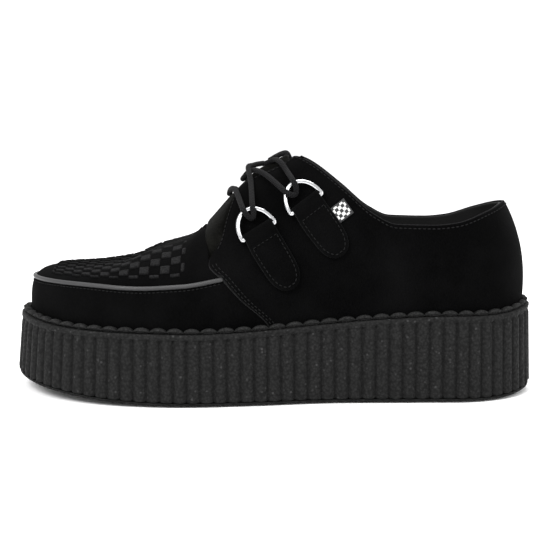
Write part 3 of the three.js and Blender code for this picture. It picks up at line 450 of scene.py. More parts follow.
@dataclass
class Body:
    """A mesh in the making: points and four-cornered faces.

    Each point can also have a flat place, for finishes that follow the piece, and a tone from 0 to 1.
    """

    points: Array
    quads: Array
    flat: Array | None = None
    tone: Array | None = None

    @staticmethod
    def join(parts: list["Body"]) -> "Body":
        """The points and faces of several bodies as one mesh."""
        starts = np.cumsum([0] + [len(p.points) for p in parts[:-1]])
        quads = [p.quads + k for p, k in zip(parts, starts)]
        return Body(np.vstack([p.points for p in parts]), np.vstack(quads))

    def put(self, name: str, weld: bool = False, sharp: float = 180.0) -> bpy.types.Object:
        """Puts the mesh into the scene, its faces turned outwards.

        Args:
            name: The object's name.
            weld: Whether points that coincide are merged, for poles and closing lines.
            sharp: Edges that bend more than this many degrees are kept crisp.

        Returns:
            The new object, at the origin.
        """
        quads = self.quads
        a, b, c, d = (self.points[quads[:, k]] for k in range(4))
        if float(np.einsum("ij,ij->i", a, np.cross(b, c) + np.cross(c, d)).sum()) < 0:
            quads = quads[:, ::-1]
        mesh = bpy.data.meshes.new(name)
        mesh.vertices.add(len(self.points))
        mesh.vertices.foreach_set("co", (self.points * MM).astype(np.float32).ravel())
        mesh.loops.add(quads.size)
        mesh.loops.foreach_set("vertex_index", quads.astype(np.int32).ravel())
        mesh.polygons.add(len(quads))
        mesh.polygons.foreach_set("loop_start", np.arange(0, quads.size, 4, dtype=np.int32))
        mesh.update(calc_edges=True)
        if self.flat is not None:
            layer = mesh.uv_layers.new(name="flat")
            layer.uv.foreach_set("vector", self.flat[quads.ravel()].astype(np.float32).ravel())
        if self.tone is not None:
            mark = mesh.attributes.new("tone", "FLOAT", "POINT")
            mark.data.foreach_set("value", self.tone.astype(np.float32))
        if weld:
            weld_mesh(mesh)
        mesh.validate()
        mesh.polygons.foreach_set("use_smooth", np.ones(len(mesh.polygons), bool))
        if sharp < 180:
            mesh.set_sharp_from_angle(angle=math.radians(sharp))
        obj = bpy.data.objects.new(name, mesh)
        bpy.context.scene.collection.objects.link(obj)
        return obj


def weld_mesh(mesh: bpy.types.Mesh) -> None:
    """Merges points that coincide and drops faces that collapse."""
    work = bmesh.new()
    work.from_mesh(mesh)
    bmesh.ops.remove_doubles(work, verts=work.verts, dist=2e-6)
    bmesh.ops.dissolve_degenerate(work, edges=work.edges, dist=1e-6)
    work.to_mesh(mesh)
    work.free()


def grid_quads(rows: int, cols: int, wrap_rows: bool = False, wrap_cols: bool = False) -> Array:
    """Corner indices of the quads of a grid whose point (i, j) has index i * cols + j."""
    i = np.arange(rows if wrap_rows else rows - 1)
    j = np.arange(cols if wrap_cols else cols - 1)
    i, j = np.meshgrid(i, j, indexing="ij")
    ni, nj = (i + 1) % rows, (j + 1) % cols
    return np.stack([i * cols + j, ni * cols + j, ni * cols + nj, i * cols + nj], -1).reshape(-1, 4)


def between(top: Array, under: Array, flat: Array | None = None, tone: Array | None = None) -> Body:
    """A closed body from two facing grids: both sheets and the rim that joins their borders.

    Args:
        top: Outer grid of points, rows by columns.
        under: Inner grid, of the same shape.
        flat: Flat places of the grid's points.
        tone: A number for each point of the top sheet; the under sheet gets 0.

    Returns:
        The body.
    """
    rows, cols, _ = top.shape
    count = rows * cols
    sheet = grid_quads(rows, cols)
    number = np.arange(count).reshape(rows, cols)
    border = np.concatenate([number[:, 0], number[-1, 1:], number[-2::-1, -1], number[0, -2:0:-1]])
    ahead = np.roll(border, -1)
    rim = np.stack([ahead, border, border + count, ahead + count], -1)
    flats = None if flat is None else np.vstack([flat.reshape(-1, 2)] * 2)
    tones = None if tone is None else np.concatenate([tone.ravel(), np.zeros(count)])
    quads = np.vstack([sheet, sheet[:, ::-1] + count, rim])
    return Body(np.vstack([top.reshape(-1, 3), under.reshape(-1, 3)]), quads, flats, tones)


def rounded(distance: Array, radius: float) -> Array:
    """Height of a rounded edge as a share of its full height: a quarter circle over radius."""
    t = np.clip(distance / radius, 0, 1)
    return np.sqrt(np.clip(1 - (1 - t) ** 2, 0, 1))


def from_border(grid: Array, axis: int, end: bool) -> Array:
    """Distance along one axis of a grid of points from its first or last line."""
    step = np.linalg.norm(np.diff(grid, axis=axis), axis=-1)
    pad = [(0, 0), (0, 0)]
    pad[axis] = (1, 0)
    run = np.cumsum(np.pad(step, pad), axis=axis)
    return np.take(run, [-1], axis=axis) - run if end else run


def carried(path: Array, reference: Array, radius: Array, sides: int, closed: bool = False) -> Body:
    """A round profile carried along a path, its ends drawn in to a point where it isn't closed.

    Args:
        path: Centre line, one point a row.
        reference: A direction, or one a point, that the path never runs along.
        radius: Radius, or one a point.
        sides: Points round the profile.
        closed: Whether the path's end joins its start.

    Returns:
        The body, with its flat place as turns round and length along.
    """
    tangent = (np.roll(path, -1, 0) - np.roll(path, 1, 0)) if closed else np.gradient(path, axis=0)
    tangent = unit(tangent)
    across = unit(np.cross(tangent, np.broadcast_to(reference, path.shape)))
    up = np.cross(across, tangent)
    r = np.broadcast_to(np.asarray(radius, float), (len(path),))
    run = run_of(path)
    if not closed:
        shrink = np.array([0.02, 0.55, 0.88])
        reach = r[0] * np.array([0.0, 0.25, 0.6])
        path = np.vstack([path[:1] + tangent[:1] * reach[:, None], path[1:-1],
                          path[-1:] - tangent[-1:] * reach[::-1, None]])
        pick = np.concatenate([[0, 0, 0], np.arange(1, len(r) - 1), [-1, -1, -1]])
        across, up, run = across[pick], up[pick], run[pick]
        r = np.concatenate([r[0] * shrink, r[1:-1], r[-1] * shrink[::-1]])
    turn = np.linspace(0, 2 * np.pi, sides + 1)
    ring = np.cos(turn)[None, :, None] * across[:, None] + np.sin(turn)[None, :, None] * up[:, None]
    points = path[:, None] + ring * r[:, None, None]
    flat = np.stack(np.broadcast_arrays(turn[None] / (2 * np.pi), run[:, None]), -1)
    quads = grid_quads(len(path), sides + 1, wrap_rows=closed)
    if not closed:
        ends = np.arange(sides // 2)
        last = (len(path) - 1) * (sides + 1)
        cap = np.stack([ends, ends + 1, sides - 1 - ends, sides - ends], -1)
        quads = np.vstack([quads, cap, cap[:, ::-1] + last])
    return Body(points.reshape(-1, 3), quads, flat.reshape(-1, 2))


def stitches(path: Array, normals: Array, pitch: float, long: float, wide: float, sink: float = 0.25) -> Body:
    """A row of thread stitches along a path, each a short bar whose radius follows a half sine.

    Args:
        path: Line of the row on the leather.
        normals: Outward directions along the path.
        pitch: Distance from stitch to stitch.
        long: Length of a stitch.
        wide: Thickness of the thread.
        sink: How much of the thickness lies in the leather.

    Returns:
        All the stitches as one body.
    """
    run = run_of(path)
    count = max(2, int(run[-1] / pitch))
    at = (np.arange(count) + 0.5) * run[-1] / count
    rings, sides = 5, 6
    steps = np.linspace(-0.5, 0.5, rings)
    where = at[:, None] + steps * long

    def pick(table: Array, where: Array) -> Array:
        return np.stack([np.interp(where, run, table[:, k]) for k in range(3)], -1)
    centre = pick(path, np.clip(where, 0, run[-1]))
    up = unit(pick(normals, where))
    tangent = unit(np.gradient(centre, axis=1))
    across = unit(np.cross(tangent, up))
    bulge = wide / 2 * np.clip(np.cos(np.pi * steps * 0.93), 0, 1) ** 0.5
    turn = np.arange(sides) / sides * 2 * np.pi
    centre = centre + up * (wide * (0.5 - sink))
    ring = np.cos(turn)[:, None] * across[..., None, :] + np.sin(turn)[:, None] * up[..., None, :]
    points = centre[..., None, :] + ring * bulge[None, :, None, None]
    one = grid_quads(rings, sides, wrap_cols=True)
    caps = np.array([[0, 1, 2, 3], [0, 3, 4, 5], [27, 26, 25, 24], [29, 28, 27, 24]])
    one = np.vstack([one, caps])
    quads = (one[None] + (np.arange(count) * rings * sides)[:, None, None]).reshape(-1, 4)
    return Body(points.reshape(-1, 3), quads)


Colour = tuple[float, float, float]


class Nodes:
    """A short way to add and link nodes in a tree."""

    def __init__(self, tree: bpy.types.NodeTree) -> None:
        """Keeps the tree."""
        self.tree = tree

    def add(self, kind: str, values: dict | None = None, **props: object) -> bpy.types.Node:
        """Adds a node, sets its properties and then its inputs."""
        node = self.tree.nodes.new(kind)
        for key, value in props.items():
            setattr(node, key, value)
        self.fill(node, values or {})
        return node

    def fill(self, node: bpy.types.Node, values: dict) -> None:
        """Sets inputs of a node by name or number; one that is given a socket is linked to it."""
        for key, value in values.items():
            if isinstance(value, bpy.types.NodeSocket):
                self.tree.links.new(value, node.inputs[key])
            else:
                node.inputs[key].default_value = value

    def maths(self, operation: str, *values: object) -> bpy.types.NodeSocket:
        """A Math node on numbers or sockets."""
        return self.add("ShaderNodeMath", dict(enumerate(values)), operation=operation).outputs[0]

    def weigh(self, a: object, a_share: float, b: object, b_share: float) -> bpy.types.NodeSocket:
        """A weighted sum of two numbers."""
        return self.maths("ADD", self.maths("MULTIPLY", a, a_share), self.maths("MULTIPLY", b, b_share))

    def ramp(self, fac: bpy.types.NodeSocket, low: float, high: float,
             to_low: float = 0.0, to_high: float = 1.0) -> bpy.types.NodeSocket:
        """A clamped range map of a number."""
        return self.add("ShaderNodeMapRange", {0: fac, 1: low, 2: high, 3: to_low, 4: to_high}).outputs[0]

    def mix(self, fac: object, a: object, b: object) -> bpy.types.NodeSocket:
        """A mix of two colours, each three numbers or a socket."""
        a, b = (v if isinstance(v, bpy.types.NodeSocket) else (*v, 1) for v in (a, b))
        return self.add("ShaderNodeMix", {0: fac, 6: a, 7: b}, data_type="RGBA").outputs[2]

    def place(self) -> bpy.types.NodeSocket:
        """The place in the piece's own frame, in metres."""
        return self.add("ShaderNodeTexCoord").outputs["Object"]

    def flat(self) -> bpy.types.NodeSocket:
        """The flat place kept with the piece's faces."""
        return self.add("ShaderNodeUVMap", uv_map="flat").outputs[0]

    def tone(self) -> bpy.types.NodeSocket:
        """The tone kept with the piece's points, 0 where there is none."""
        return self.add("ShaderNodeAttribute", attribute_name="tone").outputs["Fac"]

    def noise(self, place: object, scale: object, detail: float, rough: float = 0.5) -> bpy.types.NodeSocket:
        """A noise at a place, 0 to 1."""
        values = {"Vector": place, "Scale": scale, "Detail": detail, "Roughness": rough}
        return self.add("ShaderNodeTexNoise", values).outputs[0]

    def bump(self, strength: float, distance: float, height: object) -> bpy.types.NodeSocket:
        """A normal bent by a height."""
        return self.add("ShaderNodeBump", {"Strength": strength, "Distance": distance, "Height": height}).outputs[0]


def shared_group(name: str, inputs: dict[str, float], outputs: list[str],
                 build: Callable[[Nodes, bpy.types.Node, bpy.types.Node], None]) -> bpy.types.NodeTree:
    """Builds a shader node group once and returns it afterwards.

    Args:
        name: The group's name.
        inputs: Input names and their usual values.
        outputs: Output names.
        build: Fills the group, given its nodes, its input and its output node.

    Returns:
        The group.
    """
    tree = bpy.data.node_groups.get(name)
    if tree is None:
        tree = bpy.data.node_groups.new(name, "ShaderNodeTree")
        for key, value in inputs.items():
            socket = tree.interface.new_socket(key, in_out="INPUT", socket_type="NodeSocketFloat")
            socket.default_value = value
        for key in outputs:
            tree.interface.new_socket(key, in_out="OUTPUT", socket_type="NodeSocketFloat")
        build(Nodes(tree), tree.nodes.new("NodeGroupInput"), tree.nodes.new("NodeGroupOutput"))
    return tree


def nap_group() -> bpy.types.NodeTree:
    """Suede nap: brushed patches from a large noise, and fibres from a fine stretched noise."""
    def build(n: Nodes, given: bpy.types.Node, out: bpy.types.Node) -> None:
        place = n.place()
        patch = n.noise(place, given.outputs["Patch"], 3.0, 0.55)
        lean = n.add("ShaderNodeMapping",
                     {"Vector": place, "Rotation": (0.3, 0.5, 0.2), "Scale": (1.0, 1.0, 0.55)})
        fibre = n.noise(lean.outputs[0], given.outputs["Fibre"], 4.0, 0.7)
        fluff = n.noise(place, 420.0, 2.0)
        n.fill(out, {"Patches": n.ramp(patch, 0.38, 0.66), "Fibres": n.ramp(fibre, 0.3, 0.7),
                     "Height": n.weigh(fibre, 0.7, fluff, 0.5)})
    return shared_group("suede_nap", {"Patch": 26.0, "Fibre": 1500.0}, ["Patches", "Fibres", "Height"], build)


def crumb_group() -> bpy.types.NodeTree:
    """Moulded crepe: small round crumbs from cells, pits between them, and rare bright specks."""
    def build(n: Nodes, given: bpy.types.Node, out: bpy.types.Node) -> None:
        place = n.place()
        wobble = n.noise(place, 900.0, 3.0)
        cells = n.add("ShaderNodeTexVoronoi",
                      {"Vector": place, "Scale": given.outputs["Crumb"], "Smoothness": 0.35}, feature="SMOOTH_F1")
        specks = n.add("ShaderNodeTexVoronoi", {"Vector": place, "Scale": 520.0})
        lone = n.add("ShaderNodeSeparateColor", {0: specks.outputs["Color"]})
        crumb = n.ramp(cells.outputs["Distance"], 0.15, 0.75, 1.0, 0.0)
        core = n.ramp(specks.outputs["Distance"], 0.42, 0.2)
        bright = n.maths("MULTIPLY", n.ramp(lone.outputs[0], 0.8, 0.95), core)
        n.fill(out, {"Crumbs": crumb, "Specks": bright, "Height": n.weigh(crumb, 0.75, wobble, 0.45)})
    return shared_group("crepe_crumb", {"Crumb": 700.0}, ["Crumbs", "Specks", "Height"], build)


def braid_group() -> bpy.types.NodeTree:
    """A round braid on the cord's own places: two slanting sets of ribs, crossed."""
    def build(n: Nodes, given: bpy.types.Node, out: bpy.types.Node) -> None:
        apart = n.add("ShaderNodeSeparateXYZ", {0: n.flat()})
        around = n.maths("MULTIPLY", apart.outputs[0], given.outputs["Strands"])
        along = n.maths("MULTIPLY", apart.outputs[1], given.outputs["Pitch"])
        ribs = [n.maths("SINE", n.maths("MULTIPLY", n.maths(way, around, along), 2 * math.pi))
                for way in ("ADD", "SUBTRACT")]
        n.fill(out, {"Rib": n.ramp(n.maths("MULTIPLY", n.maths("ADD", *ribs), 0.5), -1.0, 1.0)})
    return shared_group("round_braid", {"Strands": 5.0, "Pitch": 0.75}, ["Rib"], build)


def new_material(name: str) -> tuple[bpy.types.Material, Nodes, bpy.types.Node]:
    """A new material, its nodes and its shader node."""
    material = bpy.data.materials.new(name)
    material.use_nodes = True
    return material, Nodes(material.node_tree), material.node_tree.nodes["Principled BSDF"]


@dataclass(frozen=True)
class Suede:
    """Brushed suede: near black, with greyer patches where the nap leans the other way."""

    name: str
    dark: Colour
    light: Colour
    # The colour of the painted highlight and sheen, laid on where the tone is raised.
    lift: Colour = (0.03, 0.03, 0.031)
    patch: float = 26.0
    bump: float = 0.35
    sheen: float = 0.25

    def material(self) -> bpy.types.Material:
        """Builds the material; points whose tone is raised take the lift colour, which is painted light: a painted
        highlight along cut edges and a painted sheen on the raised strips.
        """
        material, n, shader = new_material(self.name)
        nap = n.add("ShaderNodeGroup", {"Patch": self.patch}, node_tree=nap_group()).outputs
        base = n.mix(n.weigh(nap["Patches"], 0.5, nap["Fibres"], 0.5), self.dark, self.light)
        # Painted highlight and sheen: the tone, broken up by the fibres, mixes in the lighter lift colour.
        uneven_highlight = n.maths("MULTIPLY", n.tone(), n.ramp(nap["Fibres"], 0.1, 0.9, 0.25, 1.1))
        n.fill(shader, {
            "Base Color": n.mix(uneven_highlight, base, self.lift),
            "Roughness": n.ramp(nap["Patches"], 0.0, 1.0, 0.97, 0.86),
            "Normal": n.bump(self.bump, 0.0004, nap["Height"]),
            "Sheen Weight": self.sheen,
            "Sheen Roughness": 0.5,
            "Sheen Tint": (0.5, 0.5, 0.5, 1),
            "Specular IOR Level": 0.02,
        })
        return material


@dataclass(frozen=True)
class Crepe:
    """Dark moulded rubber with a crumbly, faintly sparkling skin."""

    name: str
    dark: Colour
    light: Colour
    speck: Colour = (0.3, 0.3, 0.3)
    # Colour of the painted shade in grooves and hollows.
    groove_shade: Colour = (0.003, 0.003, 0.003)
    crumb: float = 700.0
    bump: float = 0.7
    rough: float = 0.62

    def material(self) -> bpy.types.Material:
        """Builds the material from crumbs, pits and specks; where a raised tone marks a groove, the colour is
        darkened towards groove_shade as painted shade.
        """
        material, n, shader = new_material(self.name)
        skin = n.add("ShaderNodeGroup", {"Crumb": self.crumb}, node_tree=crumb_group()).outputs
        groove = n.tone()
        skinned = n.mix(skin["Crumbs"], self.dark, self.light)
        # Painted shade: grooves are darkened by their tone.
        base = n.mix(n.maths("MULTIPLY", groove, 0.85), skinned, self.groove_shade)
        spot = n.maths("MULTIPLY", skin["Specks"], n.ramp(groove, 0.0, 0.6, 0.3, 0.0))
        n.fill(shader, {
            "Base Color": n.mix(spot, base, self.speck),
            "Roughness": n.ramp(skin["Crumbs"], 0.0, 1.0, self.rough + 0.2, self.rough),
            "Normal": n.bump(self.bump, 0.0005, skin["Height"]),
            "Specular IOR Level": 0.1,
        })
        return material


@dataclass(frozen=True)
class Leather:
    """Smooth leather with a fine pebbled grain and a soft shine."""

    name: str
    dark: Colour
    light: Colour
    rough: float = 0.42
    grain: float = 1400.0
    bump: float = 0.3
    shine: float = 0.3

    def material(self) -> bpy.types.Material:
        """Builds the material from cell grain and a slow change of colour."""
        material, n, shader = new_material(self.name)
        place = n.place()
        cells = n.add("ShaderNodeTexVoronoi", {"Vector": place, "Scale": self.grain})
        slow = n.noise(place, 60.0, 3.0)
        n.fill(shader, {
            "Base Color": n.mix(slow, self.dark, self.light),
            "Roughness": n.ramp(slow, 0.3, 0.7, self.rough - 0.06, self.rough + 0.1),
            "Normal": n.bump(self.bump, 0.0002, cells.outputs["Distance"]),
            "Specular IOR Level": self.shine,
        })
        return material


@dataclass(frozen=True)
class Chrome:
    """Polished plated wire with faint handling marks."""

    name: str
    colour: Colour = (0.5, 0.505, 0.515)

    def material(self) -> bpy.types.Material:
        """Builds the material: a mirror whose roughness varies a little."""
        material, n, shader = new_material(self.name)
        marks = n.noise(n.place(), 900.0, 4.0)
        dull = tuple(c * 0.8 for c in self.colour)
        n.fill(shader, {
            "Base Color": n.mix(n.ramp(marks, 0.55, 0.8), self.colour, dull),
            "Roughness": n.ramp(marks, 0.35, 0.75, 0.08, 0.24),
            "Metallic": 1.0,
        })
        return material


@dataclass(frozen=True)
class Braid:
    """Round braided cord in dark cotton."""

    name: str
    dark: Colour = (0.003, 0.003, 0.0032)
    light: Colour = (0.0095, 0.0095, 0.01)

    def material(self) -> bpy.types.Material:
        """Builds the material from crossed ribs and fine fluff."""
        material, n, shader = new_material(self.name)
        rib = n.add("ShaderNodeGroup", node_tree=braid_group()).outputs["Rib"]
        fluff = n.noise(n.place(), 2600.0, 3.0)
        height = n.maths("ADD", rib, n.maths("MULTIPLY", fluff, 0.4))
        n.fill(shader, {
            "Base Color": n.mix(rib, self.dark, self.light),
            "Roughness": n.ramp(rib, 0.0, 1.0, 0.95, 0.75),
            "Normal": n.bump(0.8, 0.0004, height),
            "Sheen Weight": 0.02,
            "Specular IOR Level": 0.05,
        })
        return material


@dataclass(frozen=True)
class Woven:
    """A small woven tag: plain pale and dark checks inside a dark border, with visible weave."""

    name: str
    pale: Colour = (0.62, 0.62, 0.61)
    dark: Colour = (0.015, 0.015, 0.016)

    def material(self) -> bpy.types.Material:
        """Builds the material from the tag's own flat places, 0 to 1 each way."""
        material, n, shader = new_material(self.name)
        place = n.flat()
        apart = n.add("ShaderNodeSeparateXYZ", {0: place}).outputs
        checks = n.add("ShaderNodeTexChecker", {"Vector": place, "Scale": 5.0}).outputs["Fac"]
        centred = [n.maths("ABSOLUTE", n.maths("SUBTRACT", apart[k], 0.5)) for k in (0, 1)]
        ends = [n.maths("LESS_THAN", far, 0.41) for far in centred]
        threads = [n.maths("SINE", n.maths("MULTIPLY", apart[k], 150.0)) for k in (0, 1)]
        field, weave = n.maths("MULTIPLY", *ends), n.maths("MULTIPLY", *threads)
        cover = n.maths("MULTIPLY", n.maths("MULTIPLY", field, checks), n.ramp(weave, -1.0, 1.0, 0.75, 1.0))
        n.fill(shader, {
            "Base Color": n.mix(cover, self.dark, self.pale),
            "Roughness": n.ramp(weave, -1.0, 1.0, 0.9, 0.7),
            "Normal": n.bump(0.5, 0.0002, weave),
        })
        return material


class Looks:
    """The finishes of the shoe, built once each."""

    def __init__(self) -> None:
        """Builds every material."""
        black = (0.0004, 0.0004, 0.00042)
        # Each suede's lift colour is painted light: a painted highlight on cut edges, and on the strips a painted
        # sheen.
        self.suede = Suede("suede", black, (0.0022, 0.0022, 0.0023), lift=(0.02, 0.02, 0.0205),
                           sheen=0.012).material()
        self.checks = Suede("strip_suede", black, (0.0024, 0.0024, 0.0025), lift=(0.024, 0.024, 0.0245),
                            bump=1.0, sheen=0.03).material()
        self.tongue = Suede("tongue_suede", (0.0008, 0.0008, 0.0007), (0.006, 0.006, 0.0052), patch=110.0,
                            bump=0.9, sheen=0.04).material()
        self.lining = Leather("lining_leather", (0.006, 0.006, 0.006), (0.012, 0.012, 0.012), 0.6,
                              shine=0.1).material()
        self.sock = Leather("sock_leather", (0.01, 0.01, 0.0105), (0.02, 0.02, 0.021), 0.55, grain=900.0,
                            shine=0.2).material()
        self.piping = Leather("piping_leather", (0.018, 0.018, 0.0184), (0.029, 0.029, 0.0298),
                              bump=0.2).material()
        self.thread = Leather("thread", (0.002, 0.002, 0.0021), (0.006, 0.006, 0.0062), 0.75, grain=2600.0,
                              bump=0.6, shine=0.12).material()
        self.rubber = Crepe("crepe_rubber", (0.005, 0.005, 0.005), (0.0105, 0.0105, 0.0104),
                            speck=(0.075, 0.075, 0.075), bump=0.4).material()
        self.welt = Crepe("welt_rubber", (0.006, 0.006, 0.006), (0.016, 0.016, 0.0158), speck=(0.06, 0.06, 0.06),
                          crumb=1100.0, bump=0.4).material()
        self.outsole = Crepe("outsole_rubber", (0.003, 0.003, 0.003), (0.008, 0.008, 0.008),
                             speck=(0.02, 0.02, 0.02), bump=0.4).material()
        self.chrome = Chrome("ring_chrome").material()
        self.braid = Braid("lace_braid").material()
        self.woven = Woven("tag_weave").material()


def dress(obj: bpy.types.Object, material: bpy.types.Material, slot: str, *nodes: str) -> bpy.types.Object:
    """Gives a piece its material and body, and hides the CAD nodes that it stands for."""
    obj.data.materials.append(material)
    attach(obj, BODY)
    if nodes:
        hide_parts(*nodes)
    LOG.info("%s: %d faces", obj.name, len(obj.data.polygons))
    return obj


@dataclass
class Sole:
    """Fluted platform, ruffled welt and thin treaded outsole."""

    looks: Looks
    flute_pitch: float = 7.2
    flute_depth: float = 1.7
    lip: float = 3.0
    ledge: float = 13.0
    outsole: float = 2.2
    set_in: float = 0.8
    welt_pitch: float = 9.0
    tread: float = 1.0

    def build(self) -> None:
        """Builds the sole's three pieces."""
        self.platform()
        self.welt()
        self.treads()

    def around(self, count: int) -> Array:
        """Places q once round the shoe, even along the outline, without a repeat of the heel."""
        return np.linspace(-1, 1, count, endpoint=False)

    @staticmethod
    def capped(grid: Array) -> Body:
        """A wall round the shoe, its first and last lines closed straight across the shoe."""
        count, rows, _ = grid.shape
        half = np.arange(count // 2)
        cap = np.stack([half, half + 1, (count - half - 1) % count, (count - half) % count], -1) * rows
        wall = grid_quads(count, rows, wrap_rows=True)
        return Body(grid.reshape(-1, 3), np.vstack([wall, cap[:, ::-1], cap + rows - 1]))

    def platform(self) -> None:
        """The wall: vertical ribs whose section is a power of |sin|, fading into a plain lip."""
        flutes = 2 * round(LAST.perimeter / 2 / self.flute_pitch)
        samples = 12
        q = self.around(flutes * samples)
        phase = np.arange(len(q)) / samples
        ridge = np.abs(np.sin(np.pi * phase)) ** 0.7
        edge = LAST.outline(q, 0)
        foot = LAST.bottom(edge[:, 0]) + self.outsole + 0.3
        top = LAST.rim(edge[:, 0])
        rows = np.array([0.0, 0.012, 0.035, 0.2, 0.4, 0.6, 0.8, 0.88, 0.9, 0.915, 0.93, 0.97, 0.99, 1.0])
        z = foot[:, None] + (top - foot)[:, None] * rows
        under_lip = top[:, None] - self.lip - z
        depth = self.flute_depth * smooth(under_lip, -0.6, 0.9) * (1 - ridge)[:, None] * np.ones_like(z)
        shoulder = 0.5 * smooth(under_lip, -0.5, 0.4) * (1 - smooth(under_lip, 0.6, 2.2))
        rim = LAST.rim_inset(edge[:, 0])[:, None]
        round_top = 0.5 * (1 - rounded(top[:, None] - z, 0.5))
        round_foot = 0.6 * (1 - rounded(z - foot[:, None], 0.6))
        inset = rim * rows + depth + shoulder + round_top + round_foot - 0.15 * smooth(-under_lip, 0, 0.5)
        wall = raised(LAST.outline(q[:, None] + 0 * z, inset), z)
        inner = raised(LAST.outline(q, self.ledge), LAST.rim(edge[:, 0]))[:, None]
        body = self.capped(np.concatenate([wall, inner], 1))
        # Painted shade: the tone darkens the flutes' grooves, deepest at their bottoms.
        groove = depth / self.flute_depth
        body.tone = np.concatenate([groove ** 1.4, np.zeros((len(q), 1))], 1).ravel()
        dress(body.put("platform_crepe", weld=True), self.looks.rubber, "platform_rubber", "platform")

    def welt(self) -> None:
        """The ruffled strip: its crest and outer lip swell with a power of |sin| once a scallop."""
        ruffles = 2 * round(LAST.perimeter / 2 / self.welt_pitch)
        samples = 14
        q = self.around(ruffles * samples)
        phase = np.arange(len(q)) / samples
        swell = np.abs(np.sin(np.pi * phase)) ** 0.55
        edge = LAST.outline(q, 0)[:, 0]
        rim = LAST.rim_inset(edge)
        quarter = smooth(np.abs(q), 0.36, 0.375)
        far = rim + LAST.setback - 0.35 - 1.2 * quarter
        near = rim + 0.7 + 0.8 * (1 - swell)
        top = 0.9 + 2.1 * swell
        across = np.array([0.0, 0.0, 0.3, 0.62, 0.86, 0.97, 1.0, 0.95, 0.8, 0.74, 0.7])
        up = np.array([0.0, 0.86, 0.98, 1.0, 0.93, 0.8, 0.62, 0.46, 0.36, 0.2, 0.0])
        inset = blend(far[:, None], near[:, None], across)
        plan = LAST.outline(q[:, None] + 0 * inset, inset)
        z = LAST.rim(edge)[:, None] + 0.15 + top[:, None] * up
        # Painted shade: the tone darkens the hollows between the scallops, leaving their crests lighter.
        body = Body(raised(plan, z).reshape(-1, 3), grid_quads(len(q), len(up), wrap_rows=True, wrap_cols=True),
                    tone=np.repeat(0.95 * (1 - swell), len(up)))
        dress(body.put("ruffled_welt"), self.looks.welt, "welt_rubber", "welt")

    def treads(self) -> None:
        """The outsole: a sheet whose underside carries flat bars and fine cross ribs."""
        w, t = eased(261), np.linspace(-1, 1, 61)
        t = np.sin(t * np.pi / 2) * 0.3 + t * 0.7
        plan, side = spanned(LAST.outline(w, self.set_in), LAST.outline(-w, self.set_in), t)
        x = plan[..., 0]
        along = LAST.share(x)
        bars = np.zeros_like(x)
        for low, high in ((0.2, 0.5), (0.66, 0.88)):
            phase = ((along - low) / ((high - low) / 6)) % 1
            bars += ((along > low) & (along < high)) * smooth(phase, 0.0, 0.14) * (1 - smooth(phase, 0.86, 1.0))
        bars *= smooth(side, 4.5, 6.0)
        ribs = 0.35 * (0.5 + 0.5 * np.sin(along * 2 * np.pi * 62)) * smooth(side, 2.5, 3.5) * (1 - bars)
        bottom = LAST.bottom(x) + self.tread * (1 - bars) - ribs
        body = between(raised(plan, LAST.bottom(x) + self.outsole), raised(plan, bottom))
        dress(body.put("outsole_tread", weld=True, sharp=40), self.looks.outsole,
              "outsole_rubber", "outsole")


@dataclass(frozen=True)
class Crease:
    """A soft trough or ridge in the suede, placed in the shoe's own sizes."""

    along: float
    height: float
    lean: float
    length: float
    width: float
    depth: float

    def field(self, p: Array) -> Array:
        """Depth at points: a Gaussian across the crease times one along it, on the side view."""
        turn = math.radians(self.lean)
        dx, dz = p[..., 0] - LAST.place(self.along), p[..., 2] - self.height
        run, off = dx * math.cos(turn) + dz * math.sin(turn), dz * math.cos(turn) - dx * math.sin(turn)
        return self.depth * np.exp(-(off / self.width) ** 2 - (run / self.length) ** 2)


CREASES = [
    Crease(0.40, 66, -35, 16, 4.5, -0.35), Crease(0.44, 78, 60, 14, 5.0, 0.3),
    Crease(0.30, 58, 4, 26, 4.0, -0.25), Crease(0.62, 84, -38, 26, 7.0, -0.4),
    Crease(0.70, 70, -20, 30, 9.0, 0.35), Crease(0.86, 84, 10, 20, 7.0, -0.4),
    Crease(0.93, 66, 75, 14, 6.0, 0.35), Crease(0.24, 66, 8, 20, 3.5, 0.2),
]


